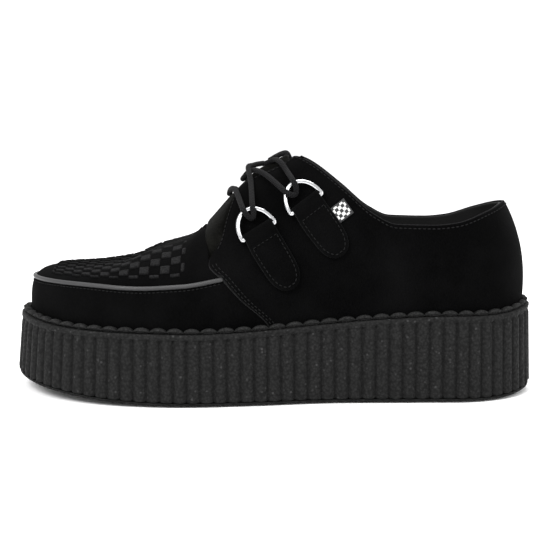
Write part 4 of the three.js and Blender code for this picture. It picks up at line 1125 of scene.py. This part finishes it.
@dataclass
class Upper:
    """Vamp, apron with its interlaced strips, quarters, lining, piping and seams."""

    looks: Looks
    quarter: float = 1.2
    vamp_end: float = 0.53
    wing_end: float = 0.475
    lining_share: float = 0.9965
    piping_size: float = 2.4
    weave_from: float = 0.08
    weave_to: float = 0.346
    weave_cells: int = 14
    weave_across: int = 18
    weave_margin: float = 5.2
    strip_rise: float = 1.1

    def build(self) -> None:
        """Builds the upper from the sole upwards."""
        self.vamp()
        self.apron()
        self.interlace()
        self.piping()
        for side in Side:
            self.quarter_panel(side)
            self.wing(side)
        self.seams()

    def creased(self, p: Array) -> Array:
        """The sum of all creases at points."""
        return sum(c.field(p) for c in CREASES)

    def panel(self, q: Array, s: Array, low: float, high: float, soft: Array) -> Body:
        """A leather panel on the last between two lifts, its edges rounded by soft (0 to 1)."""
        base, normal = LAST.at(q, s), LAST.normal(q, s)
        lift = low + (high - low) * soft + self.creased(base) * smooth(soft, 0.5, 1)
        flat = np.stack([base[..., 0], base[..., 2]], -1)
        return between(base + normal * lift[..., None], base + normal * low, flat=flat)

    def vamp(self) -> None:
        """The wall round the toe, from the sole up to the piping and on under the quarters."""
        q = np.linspace(-self.vamp_end, self.vamp_end, 420)
        top = LAST.edge(q) - 0.004
        qq, rr = np.meshgrid(q, np.linspace(0, 1, 30), indexing="ij")
        s = rr * top[:, None]
        soft = rounded(from_border(LAST.at(qq, s), 1, True), 0.7)
        body = self.panel(qq, s, -LAST.wall + 0.1, 0.0, np.maximum(soft, 0.4))
        dress(body.put("vamp_wall"), self.looks.suede, "upper_suede")

    def apron(self) -> None:
        """The plug from piping to piping over the crest, back to the throat."""
        w = LAST.throat_w * np.linspace(0, 1, 90) ** 1.15
        t = np.linspace(-1, 1, 121)
        ww, tt = np.meshgrid(w, t, indexing="ij")
        q = np.where(tt < 0, ww, -ww)
        edge = np.where(tt < 0, LAST.edge(w)[:, None], LAST.edge(-w)[:, None])
        s = edge + (1 - np.abs(tt)) * (1 - edge)
        base = LAST.at(q, s)
        open_s = LAST.top(np.array([LAST.throat_w + 0.002, -LAST.throat_w - 0.002])).min()
        lower = 1 - smooth(s, open_s - 0.06, open_s - 0.02)
        soft = np.maximum(rounded(from_border(base, 0, True), 0.9), lower)
        body = self.panel(q, np.minimum(s, 0.9999), -LAST.wall, 0.0, soft)
        dress(body.put("apron", weld=True, sharp=50), self.looks.suede, "upper_suede")

    def wing(self, side: Side) -> None:
        """The apron's corner that runs on under the quarter's front."""
        w = np.linspace(LAST.throat_w + 1e-5, self.wing_end, 48)
        top = LAST.top(side.value * w)
        edge = LAST.edge(side.value * w) - 0.01
        r = np.linspace(0, 1, 22)
        q = side.value * w[:, None] + 0 * r
        s = edge[:, None] + (top - edge)[:, None] * r
        base = LAST.at(q, s)
        body = self.panel(q, s, -LAST.wall, 0.0, rounded(from_border(base, 1, True), 0.8))
        dress(body.put(f"apron_wing_{side.label}", sharp=50), self.looks.suede, "upper_suede")

    def meets(self, side: Side) -> float:
        """The |q| at which the apron's edge reaches the quarter's seam."""
        def past(w: Array) -> Array:
            p = LAST.at(side.value * w, LAST.edge(side.value * w))
            return LAST.share(p[..., 0]) - LAST.seam(p[..., 2])
        return float(bisect(past, np.array([0.38]), np.array([0.5]))[0])

    def reach(self, along: Array, side: Side) -> Array:
        """Half width of the interlaced field on one side, a margin up the leather from the piping."""
        w = np.linspace(0.005, 0.6, 300)
        q = side.value * w
        edge = LAST.edge(q)
        p = LAST.at(q, edge + self.weave_margin / LAST.climb(q, edge, 0.01))
        order = np.argsort(p[:, 0])
        return np.interp(along, LAST.share(p[order, 0]), np.abs(p[order, 1] - LAST.middle(p[order, 0])))

    def interlace(self) -> None:
        """Strips woven through slits: in every second cell a pillow stands up, steep at its ends.

        Each cell has the same number of points, fine, both ways. A pillow is the product of two
        rounded edges; its height falls behind the laces, and a product of sines frays it a little.
        """
        fine = 14
        i = np.linspace(0, self.weave_cells, self.weave_cells * fine + 1)
        j = np.linspace(0, self.weave_across, self.weave_across * fine + 1)
        along = blend(self.weave_from, self.weave_to, i / self.weave_cells)
        across = np.sin((j / self.weave_across * 2 - 1) * 1.1) / math.sin(1.1)
        aa, tt = np.meshgrid(along, across, indexing="ij")
        outer, inner = (self.reach(along, side)[:, None] for side in Side)
        reach = np.where(tt < 0, outer, inner)
        q, s = LAST.over_crest(aa, tt * reach)
        cell_i, cell_j = np.meshgrid(i, j, indexing="ij")
        u, v = (cell_i + 0.5) % 1 * 2 - 1, (cell_j + 0.5) % 1 * 2 - 1
        even = (np.floor(cell_i + 0.5) + np.floor(cell_j + 0.5)) % 2 == 1
        pillow = rounded(1 - np.abs(u), 0.3) * rounded(1 - np.abs(v), 0.35)
        fray = 0.1 * np.sin(cell_j * 23.0) * np.sin(cell_i * 7.0 + cell_j * 3.0)
        near = np.minimum(cell_j, self.weave_across - cell_j)
        amid = smooth(near, 3.5, 6.0)
        rise = self.strip_rise * (1 - amid * smooth(aa, 0.25, 0.3)) * (1 - 0.4 * smooth(aa, 0.25, 0.34))
        lift = np.where(even, -0.45 + (rise + 0.45 + fray) * pillow, -0.45)
        border = np.minimum.reduce([cell_i, self.weave_cells - cell_i, cell_j, self.weave_across - cell_j])
        fade = smooth(border, 0, 0.25)
        base, normal = LAST.at(q, s), LAST.normal(q, np.minimum(s, 0.985))
        top = base + normal * (-0.5 + (lift + 0.5) * fade)[..., None]
        # Painted sheen: the tone lightens the crowns of the raised pillows, unevenly, and less in the middle rows
        # than towards the piping, where the nap is seen at a grazing angle.
        uneven_highlight = 0.55 + 0.45 * np.sin(cell_i * 41.0 + 3 * np.sin(cell_j * 5.0)) * np.sin(cell_j * 33.0)
        tone = np.where(even, pillow ** 2 * uneven_highlight * (1 - 0.7 * amid), 0) * fade
        body = between(top, base - normal * 0.9, tone=tone)
        dress(body.put("interlaced_strips"), self.looks.checks, "upper_suede", "interlace")

    def piping(self) -> None:
        """The round piping, carried along the apron's edge from seam to seam."""
        q = np.linspace(-self.meets(Side.INNER) - 0.003, self.meets(Side.OUTER) + 0.003, 260)
        s = LAST.edge(q)
        path = LAST.face(q, s, np.full(q.shape, 0.35))
        body = carried(path, LAST.normal(q, s), self.piping_size / 2, 12)
        dress(body.put("apron_piping"), self.looks.piping, "piping_leather", "piping")

    def quarter_grid(self, side: Side, cols: int, rows: int) -> tuple[Array, Array]:
        """Places (q, s) over a quarter: columns from the front seam to the heel, rows upwards."""
        r = np.linspace(0, 1, rows)
        start = LAST.seam_w(side, r)
        u = np.linspace(0, 1, cols) ** 1.12
        w = start[None] + (1 - start[None]) * u[:, None]
        table = np.linspace(LAST.throat_w + 0.0008, 1, 1400)
        top = np.interp(w, table, LAST.top(side.value * table))
        return side.value * w, r[None] * top

    def quarter_panel(self, side: Side) -> None:
        """One quarter over the vamp, with rounded cut edges, and the lining behind it."""
        q, s = self.quarter_grid(side, 190, 72)
        base = LAST.at(q, s)
        near = np.minimum.reduce([from_border(base, 1, True), from_border(base, 0, False),
                                  from_border(base, 0, True) + 0.25])
        body = self.panel(q, s, 0.05, self.quarter, rounded(near, 0.95))
        # Painted highlight: the tone lightens the suede along the quarter's cut edges.
        cut = np.minimum(from_border(base, 1, True) + 0.35, from_border(base, 0, False))
        body.tone = np.concatenate([(1 - smooth(cut, 0.2, 0.8)).ravel(), np.zeros(cut.size)])
        nodes = ("upper",) if side is Side.OUTER else ()
        dress(body.put(f"quarter_{side.label}"), self.looks.suede, "upper_suede", *nodes)
        q, s = self.quarter_grid(side, 110, 48)
        s = s * self.lining_share
        base = LAST.at(q, s)
        soft = np.maximum(rounded(from_border(base, 1, True), 1.2), 0.3)
        body = self.panel(q, s, -LAST.wall, 0.0, soft)
        dress(body.put(f"lining_{side.label}"), self.looks.lining, "upper_suede")

    def row(self, q: Array, s: Array, lift: float, pitch: float = 2.6) -> Body:
        """A stitch row along places on the last."""
        keep = np.argsort(q) if q[0] > q[-1] else np.arange(len(q))
        q, s = q[keep], s[keep]
        path = LAST.face(q, s, np.full(q.shape, lift))
        path = path + LAST.normal(q, s) * self.creased(path)[:, None]
        return stitches(path, LAST.normal(q, s), pitch, pitch * 0.72, 0.62)

    def seams(self) -> None:
        """Stitch rows: under the piping, twice along the quarter's seam, under the topline."""
        rows = []
        q = np.linspace(-self.meets(Side.INNER), self.meets(Side.OUTER), 400)
        edge = LAST.edge(q)
        rows.append(self.row(q, edge - 2.3 / LAST.climb(q, edge, -0.01), 0.0, 2.3))
        for side in Side:
            r = np.linspace(0.02, 0.985, 160)
            w = LAST.seam_w(side, r)
            s = r * LAST.top(side.value * w)
            low = LAST.at(side.value * w, s)[:, 2] < 73.5
            for off in (2.0, 3.9):
                place = w + off / (LAST.perimeter / 2)
                rows.append(self.row(side.value * place[low], s[low], self.quarter, 2.5))
            w = np.linspace(LAST.seam_w(side, np.array([1.0]))[0] + 0.012, 0.998, 500)
            q = side.value * w
            top = LAST.top(q)
            rows.append(self.row(q, top - 2.4 / LAST.climb(q, top, -0.01), self.quarter, 2.5))
        dress(Body.join(rows).put("upper_stitches"), self.looks.thread, "upper_suede")


@dataclass
class Inside:
    """Tongue and sock lining."""

    looks: Looks
    tongue_thick: float = 3.0
    clearance: float = 0.3
    tuck: float = 0.3

    def build(self) -> None:
        """Builds both pieces."""
        self.tongue()
        self.sock()

    def depth(self, p: Array) -> Array:
        """How far the tongue lies inside the last: tucked at the throat, proud between the facings."""
        along = LAST.share(p[..., 0])
        aside = np.abs(p[..., 1] - LAST.middle(p[..., 0]))
        gap = LAST.gap(along)
        amid = 1 - smooth(aside - gap, -8, -2.5)
        past = smooth(along, LAST.throat + 0.001, LAST.throat + 0.014)
        tucked = 1 - smooth(along, LAST.throat, LAST.throat + 0.03)
        return LAST.wall + self.clearance + self.tuck * tucked - (LAST.wall + 0.2) * amid * past

    def tongue(self) -> None:
        """The tongue: a soft sheet from under the apron up between the facings, its end rounded."""
        along = np.linspace(0.3, 0.53, 90)
        t = np.linspace(-1, 1, 61)
        aa, tt = np.meshgrid(along, t, indexing="ij")
        half = blend(45.0, 27.0, smooth(aa, 0.41, 0.455))
        end = smooth(aa, 0.505, 0.53)
        half = half * np.sqrt(np.clip(1 - (end * 0.85) ** 2.5, 0, 1))
        q, s = LAST.over_crest(aa, tt * half)
        base = LAST.at(q, s)
        normal = LAST.normal(q, np.minimum(s, 0.985))
        depth = self.depth(base)
        near = np.minimum.reduce([from_border(base, 0, True), from_border(base, 1, True),
                                  from_border(base, 1, False)])
        soft = rounded(near, 1.6)
        wave = 0.25 * np.sin(base[..., 1] * 0.42) * smooth(aa, 0.38, 0.42)
        thin = (1 - soft) * 1.4
        top = base - normal * (depth + thin + wave)[..., None]
        under = base - normal * (depth + self.tongue_thick - thin)[..., None]
        obj = between(top, under).put("tongue_suede_sheet")
        dress(obj, self.looks.tongue, "tongue_suede", "tongue")

    def sock(self) -> None:
        """The sock lining: a slightly dished sheet on the platform inside the upper."""
        w, shrink = eased(121), LAST.wall + 1.0
        plan, side = spanned(LAST.foot(w, shrink), LAST.foot(-w, shrink), np.linspace(-1, 1, 41))
        low = LAST.rim(plan[..., 0]) + 0.3
        top = low + 1.6 + 1.2 * np.exp(-side / 7)
        body = between(raised(plan, top), raised(plan, low))
        dress(body.put("sock_lining", weld=True), self.looks.sock, "insole_leather", "insole")


@dataclass(frozen=True)
class RingPlace:
    """Where a D-ring's bar sits and how its tab falls, as shares and degrees."""

    name: str
    along: float
    height: float
    fall: float
    length: float


RINGS = [RingPlace("front", 0.4795, 0.686, 57.8, 1.0), RingPlace("rear", 0.5667, 0.794, 53.4, 0.95)]


class RingFrame:
    """A ring's own axes on a quarter: its bar, down its tab, and out from the leather."""

    def __init__(self, side: Side, ring: RingPlace, proud: float) -> None:
        """Finds the frame from two places on the quarter, 4 mm apart down the tab."""
        self.side, self.ring, self.proud = side, ring, proud
        self.fall = math.radians(ring.fall)
        self.height = ring.height * FACING_TOP
        self.origin, self.out = self.on(0.0, 0.0, proud)
        below, _ = self.on(4.0, 0.0, proud)
        down = below - self.origin
        self.down = unit(down - self.out * float(down @ self.out))
        self.bar = np.cross(self.down, self.out)

    @property
    def label(self) -> str:
        """The side's and the ring's words in the names of pieces."""
        return f"{self.side.label}_{self.ring.name}"

    def on(self, run: Array, aside: Array, lift: Array) -> tuple[Array, Array]:
        """A point off the quarter's face, run down the tab and aside across it, and its normal."""
        run, aside, lift = (np.asarray(v, float) for v in (run, aside, lift))
        along = self.ring.along + (run * math.cos(self.fall) + aside * math.sin(self.fall)) / LAST.length
        height = self.height - run * math.sin(self.fall) + aside * math.cos(self.fall)
        q, s = LAST.on_quarter(self.side, along, height)
        normal = LAST.normal(q, s)
        return LAST.at(q, s) + normal * (Upper.quarter + lift)[..., None], normal

    def local(self, points: Array) -> Array:
        """Points given as (along the bar, down, out), in the shoe's own frame."""
        return self.origin + points @ np.stack([self.bar, self.down, self.out])


@dataclass
class Fastening:
    """Tabs, D-rings, lace and the small woven tag."""

    looks: Looks
    wire: float = 2.4
    width: float = 17.6
    reach: float = 13.4
    tab_length: float = 34.0
    leather: float = 1.2
    across_row: float = 5.6
    lace_size: float = 3.0
    clear: float = 0.3
    play: float = 0.9

    def __post_init__(self) -> None:
        """Works out the strap's reach round the bar, half the ring's width and every ring's frame."""
        self.sleeve = self.wire / 2 + self.clear + self.leather
        self.half = (self.width + self.wire) / 2
        self.frames = {(side, ring.name): RingFrame(side, ring, self.clear + self.sleeve)
                       for side in Side for ring in RINGS}

    def build(self) -> None:
        """Builds everything on the quarters and over the tongue."""
        self.lace()
        rows = []
        for place in self.frames.values():
            rows += self.tab(place)
            self.ring(place)
        dress(Body.join(rows).put("tab_stitches"), self.looks.thread, "upper_suede")
        self.tag()

    def tab_width(self, run: Array, length: float) -> Array:
        """Half width of a tab: a slight taper, then a rounded tip as an ellipse."""
        t = np.clip(run / length, 0, 1)
        side = (self.width - self.play) / 2 * (1 + 0.05 * np.sin(np.pi * np.clip(t / 0.7, 0, 1)))
        tip = np.clip((t - 0.62) / 0.38, 0, 1)
        return side * np.sqrt(np.clip(1 - tip ** 2.3, 0, 1)) + 0.15

    def strap_face(self, run: Array) -> Array:
        """Height of a tab's outer face: its two layers, raised by a Gaussian over the bar."""
        hump = 2 * self.sleeve * np.exp(-(run / 4.2) ** 2)
        crown = self.clear + 2 * self.sleeve
        return np.where(run < 1.0, crown, np.minimum(2.5 + hump, crown))

    def tab(self, place: RingFrame) -> list[Body]:
        """A folded strap: its long section runs up the face, round the bar and back underneath."""
        length = place.ring.length * self.tab_length
        down = blend(0.0, length, np.linspace(1, 0, 44) ** 0.9)
        arc = np.linspace(0, np.pi, 16)[1:-1]
        back = np.linspace(0, length, 30)
        run = np.concatenate([down, -self.sleeve * np.sin(arc), back])
        over = place.proud + self.sleeve * np.cos(arc)
        lift = np.concatenate([self.strap_face(down), over, np.full(len(back), 0.25)])
        count, cols, core = len(run), 25, 1.4
        shares = np.sin(np.linspace(-1, 1, cols) * np.pi / 2)
        pinch = np.sqrt(np.clip(1 - np.clip((np.abs(shares) - 0.9) / 0.1, 0, 1) ** 2, 0, 1))
        rr, tt = np.meshgrid(run, shares, indexing="ij")
        aside = tt * self.tab_width(run, length)[:, None] * place.side.value
        points, _ = place.on(rr, aside, core + (lift - core)[:, None] * (0.45 + 0.55 * pinch))
        k = np.arange(count // 2 - 1)
        cap = np.stack([k, k + 1, count - 2 - k, count - 1 - k], -1) * cols
        quads = np.vstack([grid_quads(count, cols, wrap_rows=True), cap, cap[:, ::-1] + cols - 1])
        # Painted highlight: the tone lightens the suede along the strap's long cut edges.
        cut = np.broadcast_to(0.5 * smooth(np.abs(shares), 0.96, 1.0), (count, cols))
        body = Body(points.reshape(-1, 3), quads, tone=cut.ravel())
        obj = body.put(f"tab_strap_{place.label}", weld=True)
        dress(obj, self.looks.suede, "upper_suede", f"tab_{place.label}")
        return self.tab_rows(place, length)

    def tab_rows(self, place: RingFrame, length: float) -> list[Body]:
        """Stitch rows: round the tab's edge, and one across it under the bar."""
        tip_from = 0.62
        tip = length * blend(tip_from, 0.93, np.sin(np.linspace(0.05, 0.5, 30) * np.pi))
        run = np.concatenate([np.linspace(self.across_row, length * tip_from, 30), tip])
        half = np.maximum(self.tab_width(run * 1.035, length) - 1.7, 0)
        run = np.concatenate([run, run[::-1]])
        aside = np.concatenate([half, -half[::-1]]) * place.side.value
        edge, normal = place.on(run, aside, self.strap_face(run) + 0.02)
        across = np.linspace(-0.86, 0.86, 20) * self.width / 2
        level = np.full(20, self.across_row)
        bar, up = place.on(level, across, self.strap_face(level) + 0.05)
        return [stitches(edge, normal, 2.5, 1.8, 0.6), stitches(bar, up, 2.4, 1.8, 0.6)]

    def ring(self, place: RingFrame) -> None:
        """A D-ring: a half ellipse of wire closed by a straight bar, its corners rounded."""
        turn = np.linspace(0, np.pi, 60)
        bow = np.stack([self.half * np.cos(turn), -self.reach * np.sin(turn), 0 * turn], 1)
        bar = np.stack([np.linspace(-self.half + 1.4, self.half - 1.4, 20), np.zeros(20), np.zeros(20)], 1)
        loop = np.vstack([bow, bar])
        loop = evenly(np.vstack([loop, loop[:1]]), 121)[:-1]
        for _ in range(2):
            loop = (np.roll(loop, 1, 0) + 2 * loop + np.roll(loop, -1, 0)) / 4
        body = carried(place.local(loop), place.out, self.wire / 2, 16, closed=True)
        obj = body.put(f"d_ring_{place.label}", weld=True)
        dress(obj, self.looks.chrome, "ring_chrome", f"ring_{place.label}")

    def through(self, side: Side, name: str, turn: float, other: float) -> Array:
        """The lace's way out of a ring: from its bend inside the ring, up and over the bow.

        Args:
            side: Side of the shoe.
            name: Ring on that side.
            turn: Where this stretch crosses the bow, in degrees from the bar's end.
            other: Where the stretch that shares the bend crosses it.

        Returns:
            Points from past the middle of the bend to above the bow.
        """
        rise = (self.wire + self.lace_size) / 2

        def bow(share: float, inwards: float, lift: float) -> list[float]:
            at = math.radians(turn + (other - turn) * share)
            way = (self.half * math.cos(at), -self.reach * math.sin(at))
            keep = 1 - inwards / math.hypot(*way)
            return [way[0] * keep, way[1] * keep, lift]
        points = [bow(0.66, 4.6, -0.9), bow(0.42, 4.8, -0.8), bow(0.14, 3.7, 0.4), bow(0.0, 1.7, 1.9),
                  bow(0.0, -0.1, rise)]
        return self.frames[side, name].local(np.array(points))

    def route(self, rows: list[tuple[float, float, float]]) -> Array:
        """Points over the last from (along, aside in facing gaps, lift in lace sizes)."""
        table = np.array(rows)
        q, s = LAST.over_crest(table[:, 0], table[:, 1] * FACING_GAP)
        return LAST.at(q, s) + LAST.normal(q, np.minimum(s, 0.985)) * (table[:, 2:] * self.lace_size)

    def cord(self, path: Array, name: str, *nodes: str) -> bpy.types.Object:
        """One stretch of the lace along a path, with its finish."""
        body = carried(path, (1.0, 0.0, 0.0), self.lace_size / 2, 14)
        return dress(body.put(name), self.looks.braid, "lace_fabric", *nodes)

    def lace(self) -> None:
        """Three stretches from ring to ring over the tongue, and the two tucked ends."""
        out, inn = Side.OUTER, Side.INNER
        bar = [(0.44, -1.36, 0.97), (0.4335, -0.93, 0.88), (0.4265, -0.4, 0.74), (0.423, 0, 0.62),
               (0.4265, 0.4, 0.74), (0.4335, 0.93, 0.88), (0.44, 1.36, 0.97)]
        first = [(0.4665, -1.4, 1.0), (0.4655, -1.0, 1.3), (0.4665, -0.62, 1.65), (0.471, -0.25, 1.1),
                 (0.479, 0.15, 0.68), (0.491, 0.65, 0.8), (0.509, 1.25, 1.0)]
        second = [(0.492, -1.32, 0.98), (0.473, -0.85, 0.85), (0.459, -0.35, 0.7), (0.449, 0, 0.62),
                  (0.452, 0.6, 0.8), (0.461, 1.25, 1.0)]
        stretches = [
            ("lace_bar_cord", (out, "front", 82, 111), (inn, "front", 98, 69), bar, ["lace_bar"]),
            ("lace_cross_first", (out, "front", 111, 82), (inn, "rear", 124, 84), first, ["lace_cross"]),
            ("lace_cross_second", (out, "rear", 56, 96), (inn, "front", 69, 98), second, []),
        ]
        for name, from_ring, to_ring, rows, nodes in stretches:
            start, stop = self.through(*from_ring), self.through(*to_ring)
            path = spline(np.vstack([start, self.route(rows), stop[::-1]]), 10)
            self.cord(evenly(path, 150), name, *nodes)
        tails = {
            out: (96, 56, [(0.5325, -1.4, 1.0), (0.5215, -1.02, 0.95), (0.509, -0.6, 0.55), (0.498, -0.42, 0.3),
                           (0.487, -0.38, 0.27)]),
            inn: (84, 124, [(0.54, 1.3, 1.2), (0.539, 1.0, 1.95), (0.534, 0.7, 1.6), (0.523, 0.4, 0.85),
                            (0.509, 0.2, 0.5), (0.495, 0.06, 0.27)]),
        }
        for side, (turn, other, rows) in tails.items():
            path = evenly(spline(np.vstack([self.through(side, "rear", turn, other), self.route(rows)]), 10), 90)
            obj = self.cord(path, f"lace_tail_{side.label}", f"lace_end_{side.label}")

    def tag(self) -> None:
        """The woven tag: a thin folded label that stands out behind the rear tab."""
        place = self.frames[Side.OUTER, "rear"]
        below_bar, tucked, wide, long = 8.8, 1.5, 11.0, 9.2
        u, v = np.meshgrid(np.linspace(0, 1, 21), np.linspace(0, 1, 21), indexing="ij")
        run, aside = below_bar + long * u, (self.width - self.play) / 2 - tucked + wide * v
        edge = np.minimum(np.minimum(u, 1 - u) * long, np.minimum(v, 1 - v) * wide)
        thick = 0.9 * (0.35 + 0.65 * rounded(edge, 0.5))
        bend = 0.25 * np.sin(v * 2.2)
        top, _ = place.on(run, aside, 0.45 + thick + bend)
        under, _ = place.on(run, aside, 0.3 + bend)
        flat = np.stack([u, np.clip((v * wide - tucked) / (wide - tucked), 0, 1)], -1)
        dress(between(top, under, flat=flat).put("woven_tag"), self.looks.woven, "tag_fabric", "tag")


@dataclass
class Studio:
    """Pale floor, soft lights and the fitted camera."""

    focal: float = 1172.0
    image: float = 550.0
    distance: float = 0.650
    height: float = 0.155
    pitch: float = 8.0
    yaw: float = 1.5
    sensor: float = 36.0
    aside: float = 0.001
    shift: float = 1.5
    floor: float = 6.0
    sky: float = 1.12

    def camera(self) -> None:
        """Sets the camera at the photo's place: its height, distance, pitch and turn were fitted."""
        data = bpy.data.cameras.new("camera")
        data.sensor_width = self.sensor
        data.lens = self.focal / self.image * self.sensor
        data.shift_x = self.shift / self.image
        data.clip_start = 0.01
        obj = bpy.data.objects.new("camera", data)
        turn = math.radians(self.yaw)
        x, y, c, s = self.aside, -self.distance, math.cos(turn), math.sin(turn)
        obj.location = (x * c - y * s, x * s + y * c, self.height)
        obj.rotation_euler = (math.radians(90 - self.pitch), 0, turn)
        bpy.context.scene.collection.objects.link(obj)
        bpy.context.scene.camera = obj

    def lamp(self, name: str, place: tuple[float, float, float], size: float, power: float) -> None:
        """A square softbox that faces the shoe."""
        data = bpy.data.lights.new(name, "AREA")
        data.size, data.energy = size, power
        obj = bpy.data.objects.new(name, data)
        obj.location = place
        aim = np.array([0.0, 0.0, 0.06]) - np.array(place)
        flat = math.hypot(aim[0], aim[1])
        obj.rotation_euler = (math.atan2(flat, -aim[2]), 0, math.atan2(-aim[0], aim[1]))
        bpy.context.scene.collection.objects.link(obj)

    def build(self) -> None:
        """Makes the floor, the sky and three softboxes."""
        size = self.floor
        floor = bpy.data.meshes.new("floor")
        corners = [(-size, -size, 0), (size, -size, 0), (size, size, 0), (-size, size, 0)]
        floor.from_pydata(corners, [], [(0, 1, 2, 3)])
        obj = bpy.data.objects.new("floor", floor)
        bpy.context.scene.collection.objects.link(obj)
        material, n, shader = new_material("studio_floor")
        n.fill(shader, {"Base Color": (0.93, 0.93, 0.93, 1), "Roughness": 0.8, "Specular IOR Level": 0.1})
        floor.materials.append(material)
        world = bpy.data.worlds.new("studio")
        world.use_nodes = True
        Nodes(world.node_tree).fill(world.node_tree.nodes["Background"],
                                    {"Color": (1, 1, 1, 1), "Strength": self.sky})
        bpy.context.scene.world = world
        bpy.context.scene.view_settings.view_transform = "Standard"
        self.lamp("key", (-0.55, -0.75, 0.85), 0.6, 14.0)
        self.lamp("fill", (0.8, -0.6, 0.5), 0.8, 5.0)
        self.lamp("top", (0.05, 0.25, 1.1), 0.7, 10.0)


def main() -> None:
    """Builds the camera and the cords first, then the rest."""
    logging.basicConfig(level=logging.INFO, format="%(name)s %(message)s")
    studio = Studio()
    studio.camera()
    looks = Looks()
    Fastening(looks).build()
    Sole(looks).build()
    Upper(looks).build()
    Inside(looks).build()
    studio.build()


if __name__ == "__main__":
    main()
